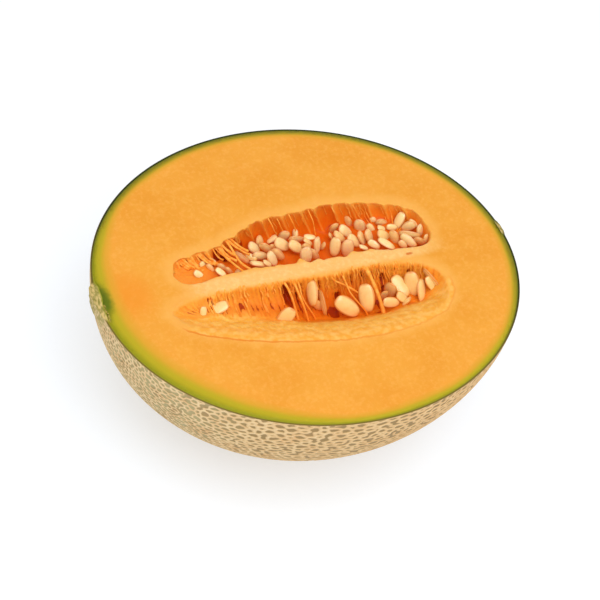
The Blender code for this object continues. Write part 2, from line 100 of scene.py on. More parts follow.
# %% Nodes from expressions
class Wire:
    """A node's output, on which sums can be written."""

    def __init__(self, graph, socket):
        self.graph = graph
        self.socket = socket

    def math(self, operation, *others):
        """A Math node with this value first and the others after it."""
        return self.graph.math(operation, self, *others)

    def vector(self, operation, *others):
        """A Vector Math node with this vector first and the others after it."""
        inputs = dict(enumerate((self, *others)))
        return self.graph.node("ShaderNodeVectorMath", {"operation": operation}, inputs)

    def plus(self, other):
        return self.vector("ADD", other)

    def times(self, other):
        return self.vector("MULTIPLY", other)

    def unit(self):
        return self.vector("NORMALIZE")

    def scaled(self, amount):
        """A vector made longer or shorter by a number that can vary."""
        return self.graph.node("ShaderNodeVectorMath", {"operation": "SCALE"}, {0: self, "Scale": amount})

    def __add__(self, other):
        return self.math("ADD", other)

    __radd__ = __add__

    def __sub__(self, other):
        return self.math("SUBTRACT", other)

    def __rsub__(self, other):
        return self.graph.math("SUBTRACT", other, self)

    def __mul__(self, other):
        return self.math("MULTIPLY", other)

    __rmul__ = __mul__

    def __truediv__(self, other):
        return self.math("DIVIDE", other)

    def __rtruediv__(self, other):
        return self.graph.math("DIVIDE", other, self)

    def __pow__(self, other):
        return self.math("POWER", other)

    def step(self, low, high):
        """0 below low, 1 above high, and a smooth rise between them. With low above high it falls."""
        return self.graph.node(
            "ShaderNodeMapRange", {"interpolation_type": "SMOOTHSTEP"},
            {0: self, 1: low, 2: high, 3: 0.0, 4: 1.0},
        )

    def clamped(self):
        return self.graph.node("ShaderNodeClamp", {}, {0: self})

    def at_least(self, other):
        return self.math("MAXIMUM", other)

    def fading(self):
        """1 where the value is 0, falling smoothly as it grows."""
        return (0 - self).math("EXPONENT")

    def parts(self):
        """X, Y and Z of a vector."""
        node = self.graph.node("ShaderNodeSeparateXYZ", {}, {0: self}).socket.node
        return [Wire(self.graph, socket) for socket in node.outputs]


class Graph:
    """A node tree, one method that adds any node to it, and short forms for the common ones."""

    def __init__(self, tree):
        self.tree = tree
        self.start = None

    def node(self, kind, settings=None, inputs=None, output=0):
        node = self.tree.nodes.new(kind)
        for name, value in (settings or {}).items():
            setattr(node, name, value)
        for key, value in (inputs or {}).items():
            if isinstance(value, Wire):
                self.tree.links.new(value.socket, node.inputs[key])
            else:
                node.inputs[key].default_value = value
        return Wire(self, node.outputs[output])

    def math(self, operation, *values):
        return self.node("ShaderNodeMath", {"operation": operation}, dict(enumerate(values)))

    def named_input(self, name, kind, default):
        """A named input of a geometry tree."""
        socket = self.tree.interface.new_socket(name, in_out="INPUT", socket_type="NodeSocket" + kind)
        if default is not None:
            socket.default_value = default
        if self.start is None:
            self.start = self.tree.nodes.new("NodeGroupInput")
        return Wire(self, self.start.outputs[name])

    def keep(self, shape, name, value, selection=True, kind="FLOAT", domain="POINT"):
        """Stores a value on the mesh under a name."""
        return self.node(
            "GeometryNodeStoreNamedAttribute", {"data_type": kind, "domain": domain},
            {"Geometry": shape, "Selection": selection, "Name": name, "Value": value},
        )

    def kept(self, name, kind="FLOAT"):
        """A value that the mesh holds under a name."""
        return self.node("GeometryNodeInputNamedAttribute", {"data_type": kind}, {"Name": name})

    def finish(self, shape, material):
        """Ends a geometry tree: instances made real, then the material."""
        self.tree.interface.new_socket("Geometry", in_out="OUTPUT", socket_type="NodeSocketGeometry")
        real = self.node("GeometryNodeRealizeInstances", {}, {0: shape})
        done = self.node("GeometryNodeSetMaterial", {}, {"Geometry": real, "Material": material})
        self.tree.links.new(done.socket, self.tree.nodes.new("NodeGroupOutput").inputs[0])
        return self.tree


def geometry_graph(name):
    return Graph(bpy.data.node_groups.new(name, "GeometryNodeTree"))


def grown(name, tree, inputs, guide=None):
    """Runs a geometry tree with the inputs given by name, and returns a plain mesh object."""
    holder = bpy.data.objects.new("holder", guide or bpy.data.meshes.new("holder"))
    bpy.context.scene.collection.objects.link(holder)
    modifier = holder.modifiers.new("grow", "NODES")
    modifier.node_group = tree
    for item in tree.interface.items_tree:
        if item.in_out == "INPUT" and item.name in inputs:
            modifier[item.identifier] = inputs[item.name]
    bpy.context.view_layer.update()
    evaluated = holder.evaluated_get(bpy.context.evaluated_depsgraph_get())
    mesh = bpy.data.meshes.new_from_object(evaluated)
    bpy.data.objects.remove(holder)
    return piece_from(name, mesh)


def keep_numbers(mesh, name, values, kind="FLOAT"):
    """Stores a number or a vector for each point of a mesh under a name."""
    field = "vector" if kind == "FLOAT_VECTOR" else "value"
    mesh.attributes.new(name, kind, "POINT").data.foreach_set(field, values)


def piece_from(name, mesh):
    mesh.name = name
    piece = bpy.data.objects.new(name, mesh)
    bpy.context.scene.collection.objects.link(piece)
    triangles = sum(len(face.vertices) - 2 for face in mesh.polygons)
    print(f"{name}: {triangles} triangles")
    return piece


# %% [markdown]
# ## Colours
#
# Colours are read off as screen colours from 0 to 255. Blender works in linear light, so one helper
# turns them round. The other helpers start a finish, lay coats of colour over each other, and make noise
# and bumps in millimetres.


# %% Colour and finish helpers
def colour(red, green, blue):
    """A screen colour, 0 to 255 each, as linear light with alpha 1."""
    shares = [channel / 255 for channel in (red, green, blue)]
    return (*[s / 12.92 if s <= 0.04045 else ((s + 0.055) / 1.055) ** 2.4 for s in shares], 1.0)


def new_finish(name):
    """A material, its graph and its Principled shader."""
    material = bpy.data.materials.new(name)
    material.use_nodes = True
    material.node_tree.nodes.clear()
    graph = Graph(material.node_tree)
    shader = material.node_tree.nodes.new("ShaderNodeBsdfPrincipled")
    output = material.node_tree.nodes.new("ShaderNodeOutputMaterial")
    material.node_tree.links.new(shader.outputs[0], output.inputs["Surface"])
    return material, graph, shader


def blend(graph, amount, first, second):
    """First colour where amount is 0, second where it is 1."""
    return graph.node("ShaderNodeMix", {"data_type": "RGBA"}, {0: amount, 6: first, 7: second}, 2)


def layered(graph, tint, *coats):
    """Coats of colour over a tint, each as how much of it shows and its screen colour."""
    for amount, screen in coats:
        tint = blend(graph, amount, tint, colour(*screen))
    return tint


def place_of(graph, stretch=(1.0, 1.0, 1.0)):
    """Object coordinates in millimetres, squeezed along some of the axes."""
    where = graph.node("ShaderNodeTexCoord", {}, {}, "Object")
    return where.times(tuple(1000 * s for s in stretch))


def grain(graph, where, size, detail=2.0, output=0):
    """Noise from 0 to 1 whose features are about as large as size."""
    inputs = {"Vector": where, "Scale": 1 / size, "Detail": detail}
    return graph.node("ShaderNodeTexNoise", {}, inputs, output)


def uneven(graph, where, size, reach, detail=2.0):
    """Noise about 0, up to half of reach either way."""
    return reach * (grain(graph, where, size, detail) - 0.5)


def oval_gap(along, across, middle, squares):
    """0 in the middle of an oval, 1 where its squared half sizes end."""
    x, y = along - middle[0], across - middle[1]
    return (x * x / squares[0] + y * y / squares[1]) ** 0.5


def attribute(graph, name):
    return graph.node("ShaderNodeAttribute", {"attribute_name": name}, {}, "Fac")


def feed(graph, shader, links):
    for name, value in links.items():
        graph.tree.links.new(value.socket, shader.inputs[name])


def set_constants(shader, constants):
    for name, value in constants.items():
        shader.inputs[name].default_value = value


def bump(graph, height, strength=1.0):
    """A normal from a height in millimetres."""
    inputs = {"Height": height, "Distance": MM, "Strength": strength}
    return graph.node("ShaderNodeBump", {}, inputs, "Normal")


# %% [markdown]
# ## The finish of the rind
#
# The net on a cantaloupe is cork that grew over cracks in the skin. It is dry, tan and a little pitted,
# while the skin in its meshes stays olive and smoother. It could be painted with a noise alone, but then
# the colours would slide off the relief. So the geometry stores numbers on the mesh, such as how far the
# nearest ridge is, and the colours change exactly where the relief does. Near the stem the meshes are
# larger and greyer, and towards the blossom end the net turns warmer. The knife's edge shows as a thin
# dark line with green inside it, and the stem's scar as crumbs of cork.


# %% Rind finish
def net_tint(graph, where, along, ridge):
    """Colour of the skin and the cork, and how much of it is cork."""
    near_stem = (along + uneven(graph, where, 9, 10)).step(-44, -70)
    cork = (ridge + 0.3 * near_stem + uneven(graph, where, 0.8, 0.4)).step(0.9, 0.58)
    warm = (along + uneven(graph, where, 30, 26)).step(-80, 30)
    # Painted highlight along the tops of the raised ridges, broken up by a grain
    crest_highlight = ridge.step(0.34, 0.05) * grain(graph, where, 2.2).step(0.25, 0.6)
    cork_tint = layered(
        graph, blend(graph, warm, colour(230, 200, 150), colour(226, 188, 136)),
        (grain(graph, where, 7).step(0.35, 0.75), (220, 178, 124)),
        # Painted shade down the sides of the ridges, then the painted highlight on their tops
        (ridge.step(0.45, 0.75) * 0.5, (196, 158, 108)),
        (crest_highlight * 0.85, (238, 212, 166)),
    )
    skin_tint = layered(
        graph, blend(graph, near_stem, colour(158, 130, 84), colour(182, 166, 118)),
        (grain(graph, where, 5).step(0.4, 0.8), (168, 136, 90)),
    )
    return blend(graph, cork, skin_tint, cork_tint), cork


def edge_tint(graph, along, across, scar, where):
    """Colour of the band that is folded over the cut edge, darker on the far side."""
    inside = attribute(graph, "band")
    far_edge = (across + 0.5 * along).step(-45, 15)
    line_tint = blend(graph, far_edge, colour(112, 96, 34), colour(30, 38, 6))
    inner_tint = blend(graph, far_edge, colour(146, 144, 28), colour(96, 104, 20))
    tint = blend(graph, inside.step(0.0, 0.2), colour(168, 142, 88), line_tint)
    tint = blend(graph, inside.step(0.4, 0.85), tint, inner_tint)
    crumbs = grain(graph, place_of(graph, (1.3, 0.5, 1.0)), 1.4).step(0.34, 0.62)
    crumbs = blend(graph, crumbs, colour(136, 128, 58), colour(212, 184, 118))
    return blend(graph, scar * inside.step(1.0, 0.75), tint, crumbs)


def rind_finish():
    material, graph, shader = new_finish("netted_rind")
    where = place_of(graph)
    along, across = where.parts()[:2]
    ridge = attribute(graph, "ridge_distance")
    scar = attribute(graph, "scar")
    cut = attribute(graph, "cut")
    tint, cork = net_tint(graph, where, along, ridge)
    corky = grain(graph, where, 1.6, 4.0).step(0.4, 0.65)
    tint = blend(graph, scar, tint, blend(graph, corky, colour(172, 156, 92), colour(226, 198, 146)))
    tint = blend(graph, cut, tint, edge_tint(graph, along, across, scar, where))
    pits = grain(graph, where, 0.35, 3.0) * 0.08 + grain(graph, where, 1.1) * 0.1
    rounded = 0.16 * ridge.step(0.7, 0.1)
    feed(graph, shader, {
        "Base Color": tint,
        "Roughness": 0.66 + 0.2 * cork - 0.1 * cut,
        "Normal": bump(graph, pits + rounded * (1 - cut)),
    })
    set_constants(shader, {"Specular IOR Level": 0.18})
    return material


RIND_FINISH = rind_finish()

# %% [markdown]
# ## The rind and its net
#
# The net is the melon's face, and it follows a rule: cells like a bubble raft, longer along the fruit, with
# a cork ridge on every boundary. It could be sculpted or painted as a bump, but the outline would stay
# smooth. Here Geometry Nodes spread points evenly on a sphere, nudge them by a seeded draw, take the hull
# and turn it into its dual mesh, whose edges are the cell boundaries. A finely divided half fruit then
# measures its distance to the nearest edge at every vertex and raises a rounded ridge there. The mesh is
# a cube blown up to a sphere, because its squares stay nearly equal and one row of them ends exactly at
# the cut. The tree also swells the corky collar round the stem scar, a soft bulge beside it and the button
# at the blossom end, and folds a narrow band over the cut edge.


# %% Rind tree
CUBE_STEPS = 251
RELIEF_SIZES = {
    "Ridge height": 0.5, "Ridge width": 0.62, "Collar radius": 6.6, "Button radius": 4.2, "Band width": 1.15,
}
# Share of the net's edges that are left out, so that some meshes join
JOINED_MESHES = 0.09
# Where the collar, the button and the bulge have their middles, across the fruit
STEM_Y = 1.5 * MM
BLOSSOM_Y = 2 * MM
BULGE_Y = 3.4 * MM
BULGE_RADIUS = 5.6 * MM
COLLAR_WIDTH = 1.7 * MM
# Radians, past which an edge at the cut stays crisp
SHARP_ANGLE = 1.2


def net_lines(graph, half_size, lift):
    """The net as a mesh of lines on the fruit: the dual mesh of points spread on a sphere."""
    cells = graph.named_input("Cells", "Int", 11500)
    seed = graph.named_input("Seed", "Int", 1)
    stretch = graph.named_input("Stretch", "Float", 0.3)
    larger_at_stem = graph.named_input("Larger at stem", "Float", 0.14)
    jitter = graph.named_input("Jitter", "Float", 0.0105)
    index = graph.node("GeometryNodeInputIndex")
    share = 1 - (2 * index + 1) / cells
    turn = index * (math.pi * (3 - math.sqrt(5)))
    reach = (1 - share * share).math("SQRT")
    around = graph.node(
        "ShaderNodeCombineXYZ", {},
        {0: share, 1: reach * turn.math("COSINE"), 2: reach * turn.math("SINE")},
    )
    nudge = graph.node(
        "FunctionNodeRandomValue", {"data_type": "FLOAT_VECTOR"},
        {0: (-1, -1, -1), 1: (1, 1, 1), "Seed": seed},
    )
    spread = around.plus(nudge.scaled(jitter)).unit()
    line = graph.node("GeometryNodeMeshLine", {}, {"Count": cells})
    cloud = graph.node("GeometryNodeSetPosition", {}, {"Geometry": line, "Position": spread})
    hull = graph.node("GeometryNodeConvexHull", {}, {0: cloud})
    dual = graph.node("GeometryNodeDualMesh", {}, {"Mesh": hull})
    x, y, z = graph.node("GeometryNodeInputPosition").parts()
    longer = x + (stretch * x + larger_at_stem) * (1 - x * x)
    narrower = (1 - longer * longer).at_least(0.0) ** 0.5 / ((y * y + z * z) ** 0.5 + 1e-6)
    laid = graph.node("ShaderNodeCombineXYZ", {}, {0: longer, 1: y * narrower, 2: z * narrower})
    laid = laid.times(half_size).plus(lift)
    net = graph.node("GeometryNodeSetPosition", {}, {"Geometry": dual, "Position": laid})
    gaps = graph.node(
        "FunctionNodeRandomValue", {"data_type": "BOOLEAN"}, {"Probability": JOINED_MESHES, "Seed": seed}, 3
    )
    return graph.node(
        "GeometryNodeDeleteGeometry", {"domain": "EDGE", "mode": "EDGE_FACE"}, {0: net, 1: gaps}
    )


def smooth_half(graph, half_size, lift):
    """One side of the half fruit without its net. It keeps which way is outward."""
    side = graph.named_input("Side", "Float", 1.0)
    steps = graph.named_input("Steps", "Int", CUBE_STEPS)
    cube = graph.node(
        "GeometryNodeMeshCube", {},
        {"Size": (2, 2, 2), "Vertices X": steps, "Vertices Y": steps, "Vertices Z": steps},
    )
    here = graph.node("GeometryNodeInputPosition")
    x, y, z = here.parts()
    above = z.math("GREATER_THAN", 0.0)
    other_side = (y * side).math("LESS_THAN", 0.0)
    half = graph.node(
        "GeometryNodeDeleteGeometry", {"domain": "FACE"}, {0: cube, 1: above.at_least(other_side)}
    )
    outward = here.times((math.pi / 4,) * 3).vector("TANGENT").unit()
    spot = outward.times(half_size).plus(lift)
    normal = outward.vector("DIVIDE", half_size).unit()
    shape = graph.node("GeometryNodeSetPosition", {}, {"Geometry": half, "Position": spot})
    return graph.keep(shape, "outward", normal, kind="FLOAT_VECTOR")


def rind_tree():
    graph = geometry_graph("netted_rind")
    half_size = graph.named_input("Half size", "Vector", HALF_SIZE)
    size = {name: graph.named_input(name, "Float", value * MM) for name, value in RELIEF_SIZES.items()}
    size["Height"] = graph.named_input("Height", "Float", HEIGHT)
    lift = graph.node("ShaderNodeCombineXYZ", {}, {2: size["Height"]})
    net = net_lines(graph, half_size, lift)
    shape = raise_net(graph, smooth_half(graph, half_size, lift), net, size)
    return graph.finish(fold_cut_edge(graph, shape, size), RIND_FINISH)


def stem_and_button(x, y, down, lumps, size):
    """Relief and mask of the corky collar at the stem, its bulge, and the button at the blossom end."""
    at_stem = x.math("LESS_THAN", 0.0)
    stem_reach = ((y - STEM_Y) * (y - STEM_Y) + down * down) ** 0.5
    blossom_reach = ((y - BLOSSOM_Y) * (y - BLOSSOM_Y) + down * down) ** 0.5
    ring = (stem_reach - size["Collar radius"]) / COLLAR_WIDTH
    pit = stem_reach.step(4.8 * MM, 2.6 * MM) * down.step(-1 * MM, -3 * MM)
    bulge = ((y - BULGE_Y) * (y - BULGE_Y) + 0.6 * down * down) / BULGE_RADIUS**2
    button = blossom_reach.step(size["Button radius"] * 1.1, size["Button radius"] * 0.5) * (1 - at_stem)
    relief = (ring * ring).fading() * at_stem * (0.2 + 1.1 * lumps) * MM - pit * at_stem * (0.4 + lumps) * MM
    relief = relief + bulge.fading() * at_stem * (1.7 + 2.2 * lumps) * MM
    relief = relief + button * (0.2 + 0.9 * lumps) * SCAR_RISE
    return relief, (stem_reach.step(10 * MM, 7.6 * MM) * at_stem).at_least(button)


def raise_net(graph, shape, net, size):
    """Raises the ridges, the collar and the button on the smooth half."""
    here = graph.node("GeometryNodeInputPosition")
    normal = graph.kept("outward", "FLOAT_VECTOR")
    wander = grain(graph, here, 2.6 * MM, output="Color")
    wander = wander.vector("SUBTRACT", (0.5, 0.5, 0.5)).times((1.5 * MM,) * 3)
    gap = graph.node(
        "GeometryNodeProximity", {"target_element": "EDGES"},
        {0: net, "Sample Position": here.plus(wander)}, "Distance",
    )
    share = gap / (size["Ridge width"] * (0.55 + 0.9 * grain(graph, here, 4 * MM)))
    ridge = (1 - share * share).at_least(0.0) ** 0.7
    x, y, z = here.parts()
    down = z - size["Height"]
    relief, scar = stem_and_button(x, y, down, grain(graph, here, 1.6 * MM, 3.0), size)
    relief = relief + (ridge - 1) * size["Ridge height"] * (1 - scar) * down.step(-0.2 * MM, -1.8 * MM)
    x, y, z = here.plus(normal.scaled(relief)).parts()
    place = graph.node("ShaderNodeCombineXYZ", {}, {0: x, 1: y, 2: z.at_least(0.0)})
    for name, value in {"ridge_distance": gap / MM, "scar": scar, "relief": relief}.items():
        shape = graph.keep(shape, name, value)
    return graph.node("GeometryNodeSetPosition", {}, {"Geometry": shape, "Position": place})


def fold_cut_edge(graph, shape, size):
    """Folds a narrow band inwards from the edge of the cut, flat on the cut face."""
    here = graph.node("GeometryNodeInputPosition")
    z = here.parts()[2]
    on_cut = z.math("GREATER_THAN", size["Height"] - 0.01 * MM)
    fold = graph.node(
        "GeometryNodeExtrudeMesh", {"mode": "EDGES"},
        {"Mesh": shape, "Selection": on_cut, "Offset Scale": 0.0},
    ).socket.node
    shape, top, sides = (Wire(graph, fold.outputs[name]) for name in ("Mesh", "Top", "Side"))
    inward = here.times((1.0, 1.0, 0.0)).unit().scaled(0 - size["Band width"] - graph.kept("relief"))
    dip = graph.node("ShaderNodeCombineXYZ", {}, {2: -0.05 * MM})
    shape = graph.keep(shape, "band", 1.0, top)
    shape = graph.node(
        "GeometryNodeSetPosition", {}, {"Geometry": shape, "Selection": top, "Offset": inward.plus(dip)}
    )
    shape = graph.keep(shape, "cut", 1.0, sides, domain="FACE")
    angle = graph.node("GeometryNodeInputMeshEdgeAngle", {}, {}, "Unsigned Angle")
    sharp = angle.math("GREATER_THAN", SHARP_ANGLE) * on_cut
    return graph.node(
        "GeometryNodeSetShadeSmooth", {"domain": "EDGE"},
        {0: shape, "Selection": sharp, "Shade Smooth": False},
    )


# %% Rind pieces
RIND_TREE = rind_tree()
rind_far = grown("rind_far", RIND_TREE, {"Side": 1.0})
rind_near = grown("rind_near", RIND_TREE, {"Side": -1.0})

# %% [markdown]
# The two halves meet under the fruit and at its ends. Each was shaded on its own, so their normals would
# differ along that line and show as a seam. The vertices there are the same points, so their normals are
# averaged and stored.


# %% Hidden seam
def join_shading(first, second):
    """Gives the vertices that two pieces share the same normals."""
    shared = {}
    normals = []
    for piece in (first, second):
        mesh = piece.data
        count = len(mesh.vertices)
        places = np.empty(count * 3)
        mesh.vertices.foreach_get("co", places)
        vectors = np.empty(count * 3)
        mesh.vertex_normals.foreach_get("vector", vectors)
        places = places.reshape(-1, 3)
        vectors = vectors.reshape(-1, 3)
        normals.append(vectors)
        for i in np.flatnonzero(np.abs(places[:, 1]) < 2 * MM):
            key = tuple(np.round(places[i] / (0.002 * MM)).astype(int))
            shared.setdefault(key, []).append((len(normals) - 1, i))
    joined = [spots for spots in shared.values() if len(spots) == 2 and spots[0][0] != spots[1][0]]
    for (a, i), (b, j) in joined:
        mean = normals[a][i] + normals[b][j]
        normals[a][i] = normals[b][j] = mean / max(np.linalg.norm(mean), 1e-9)
    print("seam vertices joined:", len(joined))
    return normals


seam_normals = join_shading(rind_far, rind_near)

# %% [markdown]
# ## The lobes of the cavity
#
# The seed cavity has two lobes with a ridge of flesh between them. Both are given by the same values as
# in the solid: an outline in the cut face, a deepest line and how steeply the walls run down to it. Here
# they are worked out with many more points, so that flutes, folds and soft edges can show. Until a mesh is
# made, all of their sizes are plain millimetres.


# %% Lobe shapes
def closed_curve(points, steps):
    """A smooth closed line through the points, with some steps between each pair."""
    start = np.array(points, float)
    before, end, after = (np.roll(start, shift, 0)[:, None] for shift in (1, -1, -2))
    start = start[:, None]
    t = (np.arange(steps) / steps)[None, :, None]
    line = 2 * start + (end - before) * t + (2 * before - 5 * start + 4 * end - after) * t**2
    line = 0.5 * (line + (3 * start - before - 3 * end + after) * t**3)
    return line.reshape(-1, 2)


def evenly_spaced(line, count):
    """Points at even steps along a closed line, starting at its last point."""
    line = np.vstack([line[-1:], line])
    walked = np.concatenate([[0], np.cumsum(np.linalg.norm(np.diff(line, axis=0), axis=1))])
    at = np.arange(count) / count * walked[-1]
    return np.column_stack([np.interp(at, walked, line[:, k]) for k in (0, 1)]), walked[-1]


def smooth_draw(places, pitch, seed):
    """A seeded draw from -1 to 1 for every step of pitch, joined by a smooth line."""
    table = np.random.RandomState(seed).uniform(-1, 1, 4096)
    cell = np.floor(places / pitch).astype(int)
    t = places / pitch - cell
    t = t * t * (3 - 2 * t)
    return table[cell % 4096] * (1 - t) + table[(cell + 1) % 4096] * t


def table_line(values, share):
    """A smooth line through values that lie evenly from share 0 to 1."""
    spot = np.clip(share, 0, 1) * (len(values) - 1)
    cell = np.minimum(spot.astype(int), len(values) - 2)
    t = spot - cell
    t = t * t * (3 - 2 * t)
    values = np.array(values, float)
    return values[cell] * (1 - t) + values[cell + 1] * t


def lumps(points, size, seed=0.0):
    """Noise from about -1 to 1 at each point, with features of about size."""
    scaled = points / size + seed
    return np.array([noise.noise(Vector(point)) for point in scaled])


FAR_LOBE = {
    "outline": [
        (-53.5, 8), (-51, 3.4), (-46, 2.3), (-38, 3.4), (-29.5, 4.1), (-20, 4.2), (-8, 3.4), (4, 2.8),
        (14, 2.8), (25, 3), (36, 1.8), (46, 0.6), (52, 1.4), (55.5, 6.5), (54.6, 15), (50.5, 20.6),
        (43, 24.2), (33, 27), (23.5, 28.9), (12, 28.4), (0, 27.9), (-12, 26.5), (-21, 22.8), (-27, 19.8),
        (-34.5, 17), (-43, 15.6), (-50, 13.4),
    ],
    "spine": [(-42, 9), (43, 12)],
    "depths": (7, 12, 17, 19, 19, 17, 12),
    "bed": (3.9, 7.0, 11.3, 13.2, 13.2, 11.5, 7.6),
    "steepness": (2.6, 2.6),
    "flute_widths": (5.5, 9.0),
    "flute_depth": 1.5,
    "edge_far": 0.6,
    "edge_near": 0.9,
}
NEAR_LOBE = {
    "outline": [
        (-59.5, -12), (-54, -18.8), (-41, -25), (-25, -30), (-8, -33.8), (10, -36), (27, -35.2),
        (41, -32), (48.5, -26), (51, -17), (48.5, -11.2), (42.5, -7.6), (32, -5.6), (20, -4.7), (6, -5.6),
        (-6, -5), (-24, -4.4), (-38, -4.4), (-56, -7),
    ],
    "spine": [(-46, -12), (38, -17)],
    "depths": (4.5, 7, 9.5, 13.5, 15.5, 15, 11.5),
    "bed": (3.9, 6.3, 8.8, 12.8, 14.6, 13.8, 10.0),
    "steepness": (0.75, 2.0),
    "flute_widths": (3.0, 5.5),
    "flute_depth": 0.5,
    "edge_far": 1.6,
    "edge_near": 0.35,
}
RIM_STEP = 0.42
EDGE_RINGS = 6
WALL_RINGS = 46
KEEL_SPOTS = 120


# %% [markdown]
# The far lobe's wall is a row of broad flutes, each the print of a row of seeds, with thin pale ribs
# between them, partly their pale strings and partly painted light on the raised ribs. The near lobe's upper
# wall is a curtain of wet fibres, whose folds hang every two millimetres or so and lean a little. Both are
# cells of uneven width from a seeded draw. Between some folds the wall opens into slits, which painted
# shade turns dark red, and each slit is one entry in a list. The creases, the flutes and the foot of the
# wall get painted shade too.


# %% Folds and slits
FLUTE_LEAN = 0.5
FOLD_LEAN = 0.24
# Slits in the curtain: x, depth, half width, half height, how deep each goes
SLITS = [
    (-11.0, 8.4, 1.5, 5.6, 4.2), (-6.6, 9.6, 0.5, 2.8, 2.4), (-4.8, 6.6, 0.35, 3.0, 2.2),
    (-4.2, 13.0, 0.5, 2.6, 2.4), (30.0, 7.6, 1.0, 2.6, 3.4), (31.0, 13.0, 1.3, 2.2, 3.0),
    (11.1, 12.9, 1.3, 2.6, 3.0), (-43.4, 2.7, 0.9, 1.6, 1.4), (-30.8, 7.4, 0.8, 1.6, 2.0),
    (-18.1, 10.4, 0.4, 2.4, 1.6), (21.0, 5.0, 0.3, 2.4, 1.4), (16.6, 6.4, 0.4, 2.6, 1.6),
    (2.5, 5.4, 0.35, 2.4, 1.4), (25.4, 6.4, 0.35, 2.6, 1.6), (40.6, 5.4, 0.6, 1.8, 2.0),
]
# Hollows between the seeds of the far lobe and under those of the near one, dipped and red with painted
# shade: x, y, radius
HOLLOWS = [
    (-3.4, 11.0, 1.9), (11.2, 10.6, 2.3), (13.2, 13.8, 1.8), (-28.0, 17.6, 1.8), (-19.2, 22.4, 1.6),
    (-19.6, 10.8, 1.5), (-32.3, 17.6, 1.5), (7.6, -13.6, 3.0), (14.4, -12.4, 1.8), (26.4, -14.4, 1.8),
    (42.0, -11.6, 1.6), (31.6, -10.4, 2.0), (25.0, -19.0, 1.6),
]
# Where the ridge between the lobes reaches over the far one, or is notched: x, reach, half width
RIDGE_BUMPS = [
    (-2.6, 2.2, 1.5), (1.0, -0.6, 1.0), (4.7, 0.7, 1.3), (6.6, -0.5, 0.9), (15.7, -0.9, 1.6),
    (19.9, 1.2, 1.6), (27.4, 0.8, 1.6), (-12.0, 0.5, 1.5), (-22.0, 0.7, 1.8), (36.0, -0.5, 1.5),
]


def uneven_cells(places, widths, seed):
    """Cells of uneven width along a line: the share of its cell, the cell's draw and the gap to its edge."""
    draw = random.Random(seed)
    edges = [-90.0]
    while edges[-1] < 90:
        edges.append(edges[-1] + draw.uniform(*widths))
    edges = np.array(edges)
    draws = np.array([draw.random() for _ in edges])
    cell = np.clip(np.searchsorted(edges, places) - 1, 0, len(edges) - 2)
    before = np.clip(places - edges[cell], 0, None)
    after = np.clip(edges[cell + 1] - places, 0, None)
    return before / (before + after), draws[cell], np.minimum(before, after)


def fold_bumps(across, seed):
    """Rounded folds of uneven width and height, 0 in the creases and about 1 on the folds."""
    share, draws, _ = uneven_cells(across, (1.1, 2.7), seed)
    return np.sqrt(np.clip(np.sin(np.pi * share), 0, 1)) * (0.45 + 0.55 * draws)


def spots(points, list_of_spots):
    """How far inside a round spot each point lies, 1 in its middle and 0 outside."""
    depth = np.zeros(len(points))
    for x, y, radius in list_of_spots:
        gap = np.hypot(points[:, 0] - x, points[:, 1] - y)
        depth = np.maximum(depth, np.exp(-((gap / radius) ** 4)))
    return depth


def flutes(x, drop, lobe, seed):
    """How far each point stands out in its flute, the flute's draw, and the gap to the rib beside it."""
    share, draw, gap = uneven_cells(x - FLUTE_LEAN * drop, lobe["flute_widths"], seed + 7)
    return np.clip(np.sin(np.pi * share), 0, 1) ** 0.7 * (0.7 + 0.5 * draw), draw, gap


def cut_slits(x, drop, curtain, push, crease):
    """Opens the slits in the curtain: the wall is pushed back there and painted shade darkens it."""
    for middle, depth, half_width, half_height, dug in SLITS:
        lean = x - middle - FOLD_LEAN * (drop - depth)
        slit = curtain * np.exp(-((lean / half_width) ** 4) - ((drop - depth) / half_height) ** 4)
        push = push + dug * slit
        crease = crease + 2 * slit
    return push, crease


def pulp_bed(points, drop, lobe, folds, seed):
    """Height of the soft bed that the wall runs out into, and how far each point is in a hollow."""
    start, end = np.array(lobe["spine"], float)
    bed = -table_line(lobe["bed"], (points[:, 0] - start[0]) / (end[0] - start[0]))
    bed += 0.8 * lumps(points * (1, 1, 0), 3.4, seed) + 0.35 * lumps(points * (1, 1, 0), 1.3, seed)
    bed += folds
    hollow = spots(points, HOLLOWS) * np.clip(drop / 2 - 0.6, 0, 1)
    return bed - 1.6 * hollow, hollow


